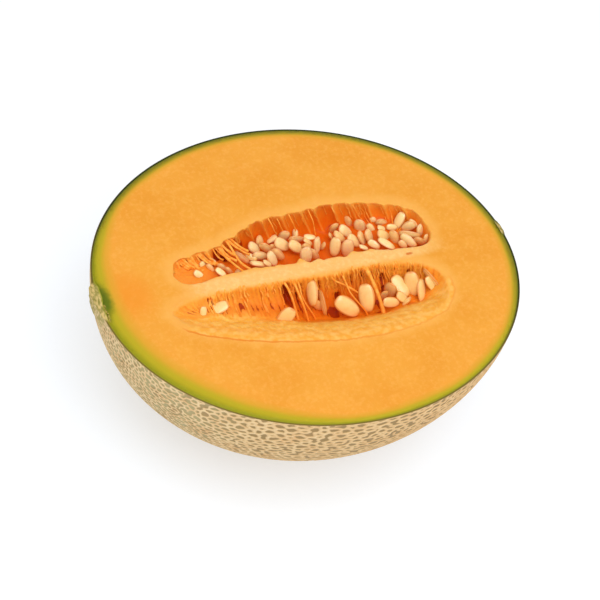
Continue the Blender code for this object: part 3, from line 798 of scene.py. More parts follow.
def lobe_rings(lobe, seed):
    """Rings of points from the soft edge in the cut face down to the deepest line, in millimetres."""
    line = closed_curve(lobe["outline"], 12)
    length = evenly_spaced(line, 4)[1]
    count = round(length / RIM_STEP)
    rim, length = evenly_spaced(line, count)
    along = np.roll(rim, -1, 0) - np.roll(rim, 1, 0)
    along /= np.linalg.norm(along, axis=1)[:, None]
    outward = np.column_stack([along[:, 1], -along[:, 0]])
    facing = outward[:, 1]
    walked = np.arange(count) / count * length
    start, end = np.array(lobe["spine"], float)
    share_along = np.clip((rim[:, 0] - start[0]) / (end[0] - start[0]), 0, 1)
    depth = table_line(lobe["depths"], share_along)
    deep = start + (end - start) * share_along[:, None]
    gentle, steep = lobe["steepness"]
    curve = gentle + (steep - gentle) * (0.5 + 0.5 * facing)
    edge = lobe["edge_near"] + (lobe["edge_far"] - lobe["edge_near"]) * (0.5 + 0.5 * facing)
    edge = edge * (1 + 0.3 * smooth_draw(walked, 3.1, seed))
    wobble = 0.3 * smooth_draw(walked, 2.3, seed + 1) + 0.2 * smooth_draw(walked, 0.9, seed + 2)
    wobble = wobble * (0.35 + 0.65 * np.clip(0.5 + facing, 0, 1))
    is_near = lobe is NEAR_LOBE
    curtain = np.clip(facing * 2 - 0.4, 0, 1) * is_near
    lip = np.clip(-facing * 3, 0, 1) * is_near
    far_wall = np.clip(facing * 2.5, 0, 1) * (not is_near)
    ridge = np.zeros(count)
    for x, reach, half_width in () if is_near else RIDGE_BUMPS:
        ridge -= reach * np.exp(-(((rim[:, 0] - x) / half_width) ** 2)) * np.clip(-facing * 2 - 1, 0, 1)
    last_share = np.round((rim[:, 0] - start[0]) / (end[0] - start[0]) * KEEL_SPOTS) / KEEL_SPOTS
    keel = start + (end - start) * np.clip(last_share, 0, 1)[:, None]
    rings, creases = [], []
    for k in range(EDGE_RINGS + WALL_RINGS + 1):
        # The first rings turn over the soft edge, and the others run down the wall
        if k <= EDGE_RINGS:
            drop = edge * (1 - math.cos(math.pi / 2 * k / EDGE_RINGS))
        else:
            t = (k - EDGE_RINGS) / WALL_RINGS
            drop = edge + (depth - edge) * (0.6 * t + 0.4 * t * t)
        share = np.clip(drop / depth, 0, 1)
        soft = np.clip(1 - drop / edge, 0, 1)
        rounding = edge * (1 - np.sqrt(np.clip(1 - soft * soft, 0, 1)))
        reach = 0.88 + 0.12 * share**8
        inward = reach * (1 - (1 - share**curve) ** (1 / curve))
        # Broad flutes of the far wall
        fade = np.minimum(1, 0.5 + 4 * share) * (1 - share**4)
        scallop, flute_draw, flute_gap = flutes(rim[:, 0], drop, lobe, seed)
        push = lobe["flute_depth"] * (scallop - 0.25) * fade * np.clip(facing * 2, 0, 1)
        push = push * (1 - curtain) + rounding + (wobble + ridge * (1 - share) ** 2) * (1 - share**4)
        # Folds of the curtain, and the painted shade of the wall in its creases, flutes and slits, with
        # painted light on the far wall's ribs
        across = rim[:, 0] - FOLD_LEAN * drop + 0.35 * smooth_draw(drop, 2.7, seed + 5)
        hang = np.clip(drop / 2.5, 0, 1) * (1 - share**6)
        bumps = fold_bumps(across, seed)
        push = push - curtain * hang * (1.35 * bumps - 0.5)
        crease = curtain * np.clip(drop / 1.2, 0, 1) * np.clip(0.75 - bumps, 0, 1)
        crease = crease + far_wall * np.clip(drop / 2, 0, 1) * (0.3 * scallop * flute_draw + 0.12)
        crease = crease - far_wall * np.clip(drop / 1.2, 0, 1) * 0.9 * np.exp(-((flute_gap / 0.4) ** 2))
        push, crease = cut_slits(rim[:, 0], drop, curtain, push, crease)
        # The ring's place, with fine strings and a rough lip
        place = rim + (deep - rim) * inward[:, None] + outward * push[:, None]
        points = np.column_stack([place, -drop])
        streaks = points * (1.0, 1.0, 0.16) + np.column_stack([FOLD_LEAN * drop, 0 * drop, 0 * drop])
        fine = 0.05 * lumps(streaks, 0.7, seed) + 0.16 * lumps(streaks, 1.9, seed)
        rough = 0.34 * lumps(points, 2.4, seed) + 0.22 * lumps(points, 0.9, seed)
        points[:, :2] += outward * (fine * (1 - lip) * np.clip(share * 8, 0, 1) * (1 - share**6))[:, None]
        points[:, 2] += rough * lip * np.clip(drop / 1.2, 0, 1) * (1 - share**6)
        if k == EDGE_RINGS + WALL_RINGS:
            points[:, :2] = keel
            points[:, 2] = -table_line(lobe["depths"], np.clip(last_share, 0, 1))
        # The pulp's bed, which the wall runs out into softly
        folds = 0.9 * curtain * (bumps - 0.5) * (1 - share**6)
        bed, hollow = pulp_bed(points, drop, lobe, folds, seed)
        gap = points[:, 2] - bed
        points[:, 2] = bed + np.where(gap > 1, gap, np.exp(np.minimum(gap, 1) - 1))
        # Painted shade at the foot of the wall, where it runs into the bed, and deep in the hollows
        crease = crease * np.clip(1 + gap, 0, 1) + 0.6 * np.clip(1 - gap, 0, 1) * (1 - lip) + 1.6 * hollow
        rings.append(points)
        creases.append(np.clip(crease, -1, 1))
    return np.array(rings), lip, np.array(creases)


far_rings, far_lip, far_crease_shades = lobe_rings(FAR_LOBE, 3)
near_rings, near_lip, near_crease_shades = lobe_rings(NEAR_LOBE, 11)
print("lobe rings:", far_rings.shape, near_rings.shape)

# %% [markdown]
# ## The flesh
#
# The flesh is one closed body: the cut face, the walls of both lobes and a hidden bowl just inside the
# rind. The cut face is triangulated between its three edges with extra points inside, so that it can carry
# the knife's faint waves and numbers for the colours: how far it is to the rind, how far to a lobe, and
# on a wall how deep it lies.

# %% Flesh mesh
# The flesh starts under the band that the rind folds over the cut edge
BAND_INSET = 1.0
FACE_STEP = 1.5
EDGE_ROOM = 0.8
OUTER_POINTS = 720
BOWL_ROWS = 26
BOWL_INSET = 1.6
BOWL_RISE = 2.8
# What the hidden bowl says of its distance to a lobe, so that it stays plain
FAR_FROM_LOBES = 20.0


def in_loop(points, loop):
    """Whether each point lies inside a closed loop, by counting crossings."""
    inside = np.zeros(len(points), bool)
    for (x0, y0), (x1, y1) in zip(loop, np.roll(loop, -1, 0)):
        crosses = (y0 > points[:, 1]) != (y1 > points[:, 1])
        if y0 != y1:
            inside ^= crosses & (points[:, 0] < (x1 - x0) * (points[:, 1] - y0) / (y1 - y0) + x0)
    return inside


def nearest_gap(points, loop):
    """Distance from each point to the nearest point of a loop."""
    return np.array([np.sqrt(((loop - point) ** 2).sum(1).min()) for point in points])


def outer_loop(inset, count):
    turn = np.arange(count) / count * 2 * np.pi
    return np.column_stack([
        (HALF_LENGTH / MM - inset) * np.cos(turn), (HALF_WIDTH / MM - inset) * np.sin(turn)
    ])


def rim_gap(points):
    """Distance from the fruit's edge in millimetres, along the line from the middle."""
    reach = np.linalg.norm(points, axis=1)
    share = np.hypot(points[:, 0] / (HALF_LENGTH / MM), points[:, 1] / (HALF_WIDTH / MM))
    return reach / np.maximum(share, 1e-6) - reach


def cut_face_points(loops):
    """Points spread over the cut face in even rows, clear of its edges."""
    x, y = np.meshgrid(np.arange(-86, 86, FACE_STEP), np.arange(-75, 75, FACE_STEP * 0.87))
    x[1::2] += FACE_STEP / 2
    grid = np.column_stack([x.ravel(), y.ravel()])
    grid = grid[in_loop(grid, outer_loop(BAND_INSET + EDGE_ROOM, 360))]
    for loop in loops:
        grid = grid[~in_loop(grid, loop)]
        grid = grid[nearest_gap(grid, loop) > EDGE_ROOM]
    return grid


def cut_face(outer, loops):
    """Points and triangles of the cut face, and which point each place on an edge became."""
    flat = np.vstack([outer, *loops, cut_face_points(loops)])
    edges = []
    first = 0
    for loop in [outer, *loops]:
        count = len(loop)
        edges += [(first + i, first + (i + 1) % count) for i in range(count)]
        first += count
    result = geometry.delaunay_2d_cdt([Vector(p) for p in flat], edges, [], 0, 1e-5)
    points = np.array([tuple(p) for p in result[0]])
    faces = np.array(result[2])
    middles = points[faces].mean(1)
    keep = in_loop(middles, outer)
    for loop in loops:
        keep &= ~in_loop(middles, loop)
    origins = {ids[0]: i for i, ids in enumerate(result[3]) if ids}
    return points, [tuple(face) for face in faces[keep]], origins


def squares_between(upper, lower):
    """A closed row of squares between two rings of vertices."""
    count = len(upper)
    return [(upper[i], upper[(i + 1) % count], lower[(i + 1) % count], lower[i]) for i in range(count)]


def with_numbers(places, lobe_gap=0.0, drop=0.0, lip=0.0, crease=0.0):
    """Places with their four numbers beside them, one row for each vertex."""
    numbers = [np.broadcast_to(values, len(places)) for values in (lobe_gap, drop, lip, crease)]
    return np.column_stack([places, *numbers])


def build_flesh():
    outer = outer_loop(BAND_INSET, OUTER_POINTS)
    loops = [far_rings[0][:, :2], near_rings[0][:, :2]]
    points, faces, origins = cut_face(outer, loops)
    lobe_gap = np.minimum(*[nearest_gap(points, loop) for loop in loops])
    rows = [with_numbers(np.column_stack([points, np.zeros(len(points))]), lobe_gap)]
    total = len(points)
    offset = OUTER_POINTS
    for rings, lip, creases in ((far_rings, far_lip, far_crease_shades), (near_rings, near_lip, near_crease_shades)):
        count = rings.shape[1]
        upper = [origins[offset + i] for i in range(count)]
        offset += count
        for ring, crease in zip(rings[1:], creases[1:]):
            lower = [total + i for i in range(count)]
            faces += squares_between(upper, lower)
            rows.append(with_numbers(ring, 0.0, -ring[:, 2], lip, crease))
            total += count
            upper = lower
    upper = [origins[i] for i in range(OUTER_POINTS)]
    turn = np.arange(OUTER_POINTS) / OUTER_POINTS * 2 * np.pi
    for row in range(1, BOWL_ROWS + 1):
        tilt = row / BOWL_ROWS * np.pi / 2
        ring = np.column_stack([
            (HALF_LENGTH / MM - BOWL_INSET) * math.cos(tilt) * np.cos(turn),
            (HALF_WIDTH / MM - BOWL_INSET) * math.cos(tilt) * np.sin(turn),
            np.full(OUTER_POINTS, -(HALF_DEPTH / MM - BOWL_RISE) * math.sin(tilt)),
        ])
        lower = [total + i for i in range(OUTER_POINTS)]
        faces += squares_between(lower, upper)
        rows.append(with_numbers(ring, FAR_FROM_LOBES))
        total += OUTER_POINTS
        upper = lower
    rows = np.vstack(rows)
    numbers = {"rim_gap": rim_gap(rows[:, :2])}
    numbers.update(zip(("lobe_gap", "drop", "lip", "crease"), rows[:, 3:].T))
    return rows[:, :3].copy(), faces, numbers


def flesh_piece(material):
    vertices, faces, numbers = build_flesh()
    waves = 0.05 * lumps(vertices * (1, 1, 0), 9.0) + 0.02 * lumps(vertices * (1, 1, 0), 2.5)
    on_face = (numbers["drop"] == 0) & (vertices[:, 2] > -0.01) & (numbers["rim_gap"] > BAND_INSET + 0.4)
    vertices[:, 2] += waves * on_face
    mesh = bpy.data.meshes.new("flesh")
    mesh.from_pydata([tuple(v) for v in vertices * MM + (0, 0, HEIGHT)], [], faces)
    for name, values in numbers.items():
        keep_numbers(mesh, name, values.astype(np.float32))
    bm = bmesh.new()
    bm.from_mesh(mesh)
    bmesh.ops.remove_doubles(bm, verts=bm.verts, dist=0.004 * MM)
    bmesh.ops.dissolve_degenerate(bm, edges=bm.edges, dist=0.003 * MM)
    bmesh.ops.recalc_face_normals(bm, faces=bm.faces)
    open_edges = sum(edge.is_boundary for edge in bm.edges)
    bm.to_mesh(mesh)
    bm.free()
    mesh.shade_smooth()
    mesh.materials.append(material)
    print("flesh: open edges", open_edges)
    return piece_from("flesh", mesh)


# %% [markdown]
# The flesh is juicy and a little see-through, so light that enters comes out again nearby. That is what
# subsurface scattering does, and it is kept the same all over. The colour of the cut face runs from lime
# green under the rind to orange, with a darker green notch and crumbs of cork by the stem. It pales beside
# the cavity and on the ridge between the lobes, where a few small holes are painted as spots of shade. The
# near lobe's lip goes on as a pale shelf, with a thin orange line of painted shade along its edge. The walls
# deepen to red-orange, with painted shade in the creases, slits and hollows. Fine streaks that are
# squeezed along the fibres' direction give the walls their strings.


# %% Cut face colours
def face_tint(graph, where, along, across, lobe_gap):
    """The cut face away from the rind."""
    speckle = grain(graph, where, 1.5, 3.0).step(0.42, 0.72)
    pale = (lobe_gap + uneven(graph, where, 6, 5)).step(6.0, 0.5)
    patches = grain(graph, where, 26).step(0.36, 0.7)
    tint = layered(
        graph, blend(graph, patches, colour(230, 158, 57), colour(226, 151, 48)),
        (grain(graph, where, 8, 3.0).step(0.45, 0.75) * 0.3, (238, 168, 70)),
        (speckle * 0.22, (244, 184, 98)),
        (pale * 0.45, (240, 180, 94)),
    )
    near_side = across.step(-16, -20)
    shelf_end = lobe_gap + uneven(graph, where, 3.0, 1.2, 3.0)
    mottled = grain(graph, where, 2.6, 3.0).step(0.35, 0.7)
    mottled = blend(graph, mottled, colour(236, 162, 58), colour(244, 184, 94))
    tint = blend(graph, shelf_end.step(1.8, 1.2) * near_side, tint, mottled)
    # Painted shade: a thin dark orange line near the edge of the near lobe's shelf, stronger towards the stem
    # end
    outline = shelf_end.step(2.2, 1.8) * shelf_end.step(0.9, 1.5) * near_side
    ridge = across.step(-5.5, -2.5) * across.step(4.0, 1.0) * along.step(-56, -40) * along.step(62, 40)
    patch = oval_gap(along, across, (-72, 2), (90, 160))
    return layered(
        graph, tint,
        (outline * (0.25 + 0.45 * along.step(40, -50)), (222, 118, 24)),
        (ridge * (0.55 + 0.45 * speckle), (238, 194, 124)),
        (patch.step(1.3, 0.2) * 0.6, (232, 140, 34)),
    )


def green_edge(graph, where, along, across, tint, rind_gap):
    """Adds the green under the rind, broader at the stem's near side and darker on the far side."""
    broader = (0 - 1.3 * along - 0.6 * across).step(50, 125)
    depth_in = rind_gap / (2.9 + 4.2 * broader + uneven(graph, where, 22, 2.0))
    far_edge = (across + 0.5 * along).step(-30, 30)
    notch = oval_gap(along, across, (-84.4, 2.0), (14, 60)) + uneven(graph, where, 2.2, 0.5, 3.0)
    tint = layered(
        graph, tint,
        (depth_in.step(1.9, 0.9), (212, 158, 44)),
        (depth_in.step(1.2, 0.6), (180, 162, 30)),
        (depth_in.step(0.6, 0.2), (150, 146, 20)),
        (far_edge * rind_gap.step(4.0, 1.4) * 0.75, (128, 116, 22)),
        (notch.step(1.5, 0.6) * 0.9, (84, 104, 14)),
    )
    crumbs = grain(graph, where, 0.9, 3.0).step(0.4, 0.6)
    crumbs = blend(graph, crumbs, colour(204, 170, 92), colour(106, 100, 30))
    window = across.step(3.0, -1.0) * across.step(-9.5, -6.5) * along.step(-78, -82)
    cork = (rind_gap + uneven(graph, where, 1.4, 2.2, 3.0)).step(2.6, 1.8) * window
    return blend(graph, cork, tint, crumbs)


# %% Flesh finish
def wall_tint(graph, where, along, across, drop):
    """The lobes' walls: redder with depth, with painted shade in creases, slits and hollows, paler on ribs
    partly from painted light, at the stem end and on the lip.
    """
    # The number from the mesh is painted shade above 0, and painted light on the far wall's ribs below 0
    crease = attribute(graph, "crease")
    dark = crease.clamped()
    light = (0 - crease).clamped()
    stem_end = along.step(-28, -48)
    near = across.step(1.5, -3.0)
    curtain = blend(graph, drop.step(4.0, 12.0), colour(238, 156, 50), colour(234, 122, 22))
    deep = blend(graph, drop.step(0.4, 4.5), colour(248, 168, 66), colour(242, 134, 32))
    deep = blend(graph, drop.step(4.0, 10.0), deep, colour(236, 114, 16))
    deep = layered(
        graph, blend(graph, near * 0.85, deep, curtain),
        (stem_end * 0.75, (244, 164, 60)),
        (along.step(-47, -53) * (1 - near), (240, 162, 60)),
        # Painted shade in the creases, deepest red in the darkest slits and hollows, then painted light on
        # the ribs
        (dark * (0.75 - 0.3 * near) * (1 - 0.5 * stem_end), (208, 80, 4)),
        ((dark - 0.86).step(0.0, 0.14) * 0.85, (158, 34, 2)),
        (light * 0.75, (248, 176, 78)),
    )
    mottled = grain(graph, where, 2.6, 3.0).step(0.35, 0.7)
    # Painted shade: a darker orange band just under the near lobe's edge, stronger towards the stem end
    seam = drop.step(0.1, 0.5) * drop.step(2.2, 0.9)
    lip_tint = layered(
        graph, blend(graph, mottled, colour(238, 162, 56), colour(246, 186, 92)),
        (seam * along.step(60, -60) * 0.35, (226, 124, 30)),
    )
    return blend(graph, attribute(graph, "lip") * drop.step(9.0, 5.0), deep, lip_tint)


def flesh_finish():
    material, graph, shader = new_finish("melon_flesh")
    where = place_of(graph)
    along, across = where.parts()[:2]
    drop = attribute(graph, "drop")
    tint = face_tint(graph, where, along, across, attribute(graph, "lobe_gap"))
    tint = green_edge(graph, where, along, across, tint, attribute(graph, "rim_gap"))
    # Painted shade: dark orange spots standing in for a few small holes in the ridge between the lobes
    painted_hole_shade = oval_gap(along, across, (42, -2.6), (4, 0.6)) + uneven(graph, where, 1.2, 0.9)
    tint = layered(graph, tint, (painted_hole_shade.step(1.1, 0.5) * 0.8, (206, 96, 20)))
    tint = blend(graph, drop.step(0.1, 1.2), tint, wall_tint(graph, where, along, across, drop))
    strings = grain(graph, place_of(graph, (1.0, 1.0, 0.1)), 0.55) * drop.step(0.3, 2.0)
    wet = grain(graph, where, 0.9, 3.0) * 0.05 + grain(graph, where, 3.2) * 0.1 + strings * 0.16
    feed(graph, shader, {
        "Base Color": tint,
        "Roughness": 0.5 - 0.12 * drop.step(0.3, 3.0) + uneven(graph, where, 4, 0.12),
        "Normal": bump(graph, wet, 0.7),
    })
    set_constants(shader, {
        "Subsurface Weight": 0.45, "Subsurface Radius": (1.0, 0.62, 0.28), "Subsurface Scale": 0.0018,
        "Specular IOR Level": 0.12,
    })
    return material


FLESH_FINISH = flesh_finish()
flesh = flesh_piece(FLESH_FINISH)

# %% [markdown]
# ## The fibres
#
# Wet strings tie the seeds to the wall. Some cross the open cavity, most lie on the curtain and on the ribs
# between the flutes, and the stem end of the far lobe is full of them. Each strand is a line of a few
# points from where it is rooted to where it ends. Those on a wall are read off the rings of that wall, so
# they follow it. Geometry Nodes turn the lines into smooth curves, thin them towards their middles and
# sweep a small circle along them, so one tree makes every strand.

# %% Strand paths
# Strings that cross open space: radius, then points as x, y and depth under the cut face
FREE_STRINGS = [
    (0.5, (-27.4, 22, 1.6), (-26.2, 17.4, 2.4), (-25.2, 14, 3.6),
     (-24.4, 11.4, 4.2), (-23, 8.4, 4), (-18.8, 1.8, 2.8)),
    (0.45, (-32.2, 20.4, 1.6), (-30.6, 16.6, 2.4), (-29.7, 14.5, 3.2),
     (-28.1, 11.6, 3.4), (-26.7, 8, 3), (-23.4, 1.8, 2.7)),
    (0.42, (-25.6, 24.4, 1.2), (-24.4, 22.2, 3), (-22.9, 19.9, 4.6), (-21.2, 17.1, 6), (-19.7, 15.9, 7.8)),
    (0.4, (-30.2, 20.4, 1.2), (-28.5, 18.5, 2.6), (-27.2, 17.5, 3.4), (-25.6, 16.3, 4.2), (-23.8, 14.6, 6.6)),
    (0.26, (-3.6, 29.6, 0.8), (-2.3, 27.5, 3), (-1.2, 26.4, 5.5), (0.1, 25.6, 8)),
    (0.24, (2.0, 29.6, 0.8), (3.2, 25.9, 3), (4.4, 25.5, 5.5), (5.4, 25.1, 8)),
    (0.24, (30, 29.4, 0.9), (31.1, 26.9, 2.5), (32.8, 25.8, 5.5), (34.7, 25, 8)),
    (0.2, (21, 30.4, 0.8), (22.1, 27.4, 3), (23.4, 27.1, 6), (24.4, 26.2, 8)),
    (0.22, (-7, 28.6, 0.8), (-6.1, 25.3, 2), (-4.8, 25, 5), (-3, 25.1, 8)),
    (0.2, (10.8, 29.8, 0.8), (11.7, 25.1, 3), (12.5, 23.8, 6), (13.1, 22.2, 9)),
    (0.5, (-12.8, -2.6, 1.6), (-12.2, -5.2, 1.9), (-11.3, -6.7, 3.4),
     (-10.3, -9.6, 6), (-9.9, -14, 9), (-9.2, -18, 12.5)),
    (0.5, (-9, -2.6, 1.6), (-8.6, -5.6, 1.9), (-8.1, -8, 3.4),
     (-6.9, -12.1, 6.5), (-5.9, -15.6, 10), (-5.2, -18.4, 13)),
    (0.34, (-7, -2.6, 1.6), (-6.7, -7, 3), (-6.5, -9, 5),
     (-5, -11.6, 8), (-2.7, -14.9, 11), (-1.6, -17.4, 13.5)),
    (0.4, (6.4, -3, 1.6), (7.2, -6.2, 1.9), (8.5, -6.8, 3.2), (11.9, -8.4, 4.5),
     (15.3, -10.5, 6), (18, -12, 8), (19.4, -14.6, 11)),
    (0.3, (11.4, -3.4, 1.4), (12.1, -8.8, 2.8), (12.9, -11.7, 5),
     (15.5, -14.8, 8), (18.5, -17.8, 11), (19.4, -19.4, 13)),
    (0.8, (22.2, -3.2, 1.8), (22.8, -7.6, 2.4), (23.8, -12.4, 5), (24.3, -17.5, 7.2), (24.6, -23.5, 10.8)),
]
CURTAIN_STRANDS = 70
RIB_STRANDS = 34
STEM_STRANDS = 30


def far_side(rings):
    """The columns of a lobe's rings that run down its far wall, from the lowest x up."""
    rim = rings[0]
    columns = np.arange(len(rim))
    ahead = np.roll(rim[:, 0], -1) - rim[:, 0]
    columns = columns[ahead < -0.1]
    return columns[np.argsort(rim[columns, 0])]


def down_the_wall(rings, columns, x, lean, drops, lift, sway):
    """Points on a wall at these drops, from x at the top, leaning and lifted off the wall a little."""
    path = []
    for drop in drops:
        wanted = x + lean * drop + sway * math.sin(1.3 * drop + x)
        column = columns[np.argmin(np.abs(rings[0][columns, 0] - wanted))]
        row = np.argmin(np.abs(rings[:, column, 2] + drop))
        point = rings[row, column]
        path.append(Vector((point[0], point[1] - lift, -drop)))
    return path


def strand_lines():
    """Every strand as its points in millimetres and its radius."""
    draw = random.Random(21)
    lines = [([Vector((x, y, -d)) for x, y, d in path], radius) for radius, *path in FREE_STRINGS]
    near_wall = far_side(near_rings)
    for _ in range(CURTAIN_STRANDS):
        x = draw.uniform(-46, 45)
        fall = draw.uniform(4, 12.5) * (1 - ((x - 8) / 66) ** 2)
        drops = [0.9 + fall * k / 6 for k in range(7)]
        path = down_the_wall(near_rings, near_wall, x, draw.uniform(0.16, 0.34), drops, 0.12, 0.25)
        path = [path[0] + Vector((0, 1.2, 0.3))] + path
        loose = draw.uniform(0, 1.6) * (draw.random() < 0.4)
        path = [p - Vector((0, loose * (i / 7) ** 2, 0)) for i, p in enumerate(path)]
        lines.append((path, draw.uniform(0.2, 0.42)))
    far_wall = far_side(far_rings)
    for _ in range(RIB_STRANDS):
        x = draw.uniform(-36, 50)
        drops = [0.7 + draw.uniform(5, 9) * k / 5 for k in range(6)]
        path = down_the_wall(far_rings, far_wall, x, draw.uniform(0.4, 0.6), drops, 0.1, 0.15)
        lines.append(([path[0] + Vector((0, 1.0, 0.2))] + path, draw.uniform(0.14, 0.24)))
    for _ in range(STEM_STRANDS):
        x = draw.uniform(-52, -24)
        top = down_the_wall(far_rings, far_wall, x, 0, [draw.uniform(0.7, 3)], 0, 0)[0]
        run = draw.uniform(4, 9.5) * (0.5 + 0.5 * (x + 50) / 25)
        sink = draw.uniform(0.8, 2.4)
        path = [top + Vector((-0.6, 1.0, 0.2)), top]
        for k in range(1, 5):
            t = k / 4
            sag = sink * (0.4 * t + math.sin(2.2 * t))
            path.append(top + Vector((0.75 * run * t, -0.85 * run * t, -sag)))
        lines.append((path, draw.uniform(0.26, 0.6)))
    return lines


def strand_guide():
    """A mesh of loose lines, with a radius for each point."""
    lines = strand_lines()
    mesh = bpy.data.meshes.new("strand_guide")
    points, edges, radii = [], [], []
    for path, radius in lines:
        first = len(points)
        points += [tuple(point * MM + Vector((0, 0, HEIGHT))) for point in path]
        edges += [(first + i, first + i + 1) for i in range(len(path) - 1)]
        last = len(path) - 1
        radii += [radius * MM * (1.5 if i == 0 else 1.2 if i == last else 1.0) for i in range(len(path))]
    mesh.from_pydata(points, edges, [])
    keep_numbers(mesh, "strand_radius", radii)
    print("strands:", len(lines))
    return mesh


def strand_tree(material):
    graph = geometry_graph("strands")
    lines = graph.named_input("Lines", "Geometry", None)
    sides = graph.named_input("Sides", "Int", 7)
    pieces = graph.named_input("Pieces", "Int", 18)
    curve = graph.node("GeometryNodeMeshToCurve", {}, {0: lines})
    curve = graph.node("GeometryNodeCurveSplineType", {"spline_type": "CATMULL_ROM"}, {0: curve})
    curve = graph.node("GeometryNodeResampleCurve", {}, {0: curve, "Count": pieces})
    thickness = grain(graph, graph.node("GeometryNodeInputPosition"), 1.8 * MM)
    radius = graph.kept("strand_radius") * (0.6 + 0.8 * thickness)
    circle = graph.node("GeometryNodeCurvePrimitiveCircle", {}, {"Resolution": sides, "Radius": 1.0})
    swept = graph.node(
        "GeometryNodeCurveToMesh", {},
        {"Curve": curve, "Profile Curve": circle, "Scale": radius, "Fill Caps": True},
    )
    smooth = graph.node("GeometryNodeSetShadeSmooth", {"domain": "FACE"}, {0: swept, "Shade Smooth": True})
    return graph.finish(smooth, material)


def fibre_finish():
    material, graph, shader = new_finish("wet_fibre")
    where = place_of(graph)
    low = where.parts()[2].step(1000 * HEIGHT - 12, 1000 * HEIGHT - 3)
    pale = blend(graph, grain(graph, where, 1.5).step(0.35, 0.7), colour(246, 150, 44), colour(250, 178, 78))
    tint = blend(graph, low, colour(238, 130, 28), pale)
    feed(graph, shader, {
        "Base Color": tint,
        "Roughness": 0.4 + 0.15 * grain(graph, where, 1.0),
        "Normal": bump(graph, grain(graph, place_of(graph, (1, 1, 0.2)), 0.4) * 0.1),
    })
    set_constants(shader, {
        "Subsurface Weight": 0.1, "Subsurface Radius": (1.0, 0.45, 0.15), "Subsurface Scale": 0.0005,
        "Specular IOR Level": 0.2,
    })
    return material


FIBRE_FINISH = fibre_finish()
fibres = grown("fibres", strand_tree(FIBRE_FINISH), {}, strand_guide())

# %% [markdown]
# ## The seeds
#
# A melon seed is a flat drop, blunt at one end and pointed at the other, with a thin rim round its edge
# and a skin of clear jelly. Two seeds are modelled, a plump one for the far lobe and a flatter one for the
# near lobe. Geometry Nodes copy them to a list of places, each with its own turn and size. The places are
# the same as in the solid, so each bunch sits where its node is.


# %% One seed
SEED_SIZE = (10.6, 6.4, 2.8)
FLAT_SEED_SIZE = (10.6, 6.4, 2.0)
SEED_SIDES = 20
SEED_ROWS = 16


def seed_mesh(name, sizes, around, rows):
    """A flat drop with a thin rim, in millimetres, blunt end towards +X."""
    points, rims = [], []
    for k in range(1, rows):
        turn = math.pi * k / rows
        along = -math.cos(turn)
        width = math.sin(turn) ** 0.74 * (0.92 + 0.1 * along)
        for j in range(around):
            angle = 2 * math.pi * j / around
            side, up = math.cos(angle), math.sin(angle)
            rim = abs(side) ** 6
            thick = (abs(up) ** 1.1) * math.copysign(1, up) * (1 - 0.25 * abs(side) ** 3)
            thick = thick * width**0.75 * math.sin(turn) ** 0.2
            points.append((along, side * width * (1 + 0.03 * rim), thick))
            rims.append(max(abs(side), abs(along) ** 1.5))
    points += [(-1, 0, 0), (1, 0, 0)]
    rims += [1.0, 1.0]
    faces = []
    for k in range(rows - 2):
        for j in range(around):
            a, b = k * around + j, k * around + (j + 1) % around
            faces.append((a, a + around, b + around, b))
    tail, head = len(points) - 2, len(points) - 1
    last = (rows - 2) * around
    faces += [(tail, j, (j + 1) % around) for j in range(around)]
    faces += [(head, last + (j + 1) % around, last + j) for j in range(around)]
    mesh = bpy.data.meshes.new(name)
    length, broad, thick = (size / 2 * MM for size in sizes)
    mesh.from_pydata([(x * length, y * broad, z * thick) for x, y, z in points], [], faces)
    keep_numbers(mesh, "seed_end", [point[0] for point in points])
    keep_numbers(mesh, "seed_edge", rims)
    bm = bmesh.new()
    bm.from_mesh(mesh)
    bmesh.ops.recalc_face_normals(bm, faces=bm.faces)
    bm.to_mesh(mesh)
    bm.free()
    mesh.shade_smooth()
    return mesh


# %% [markdown]
# Each seed is written down as x, y, depth under the cut face, heading, lean, roll and size. The first
# three are millimetres, the turns are degrees.

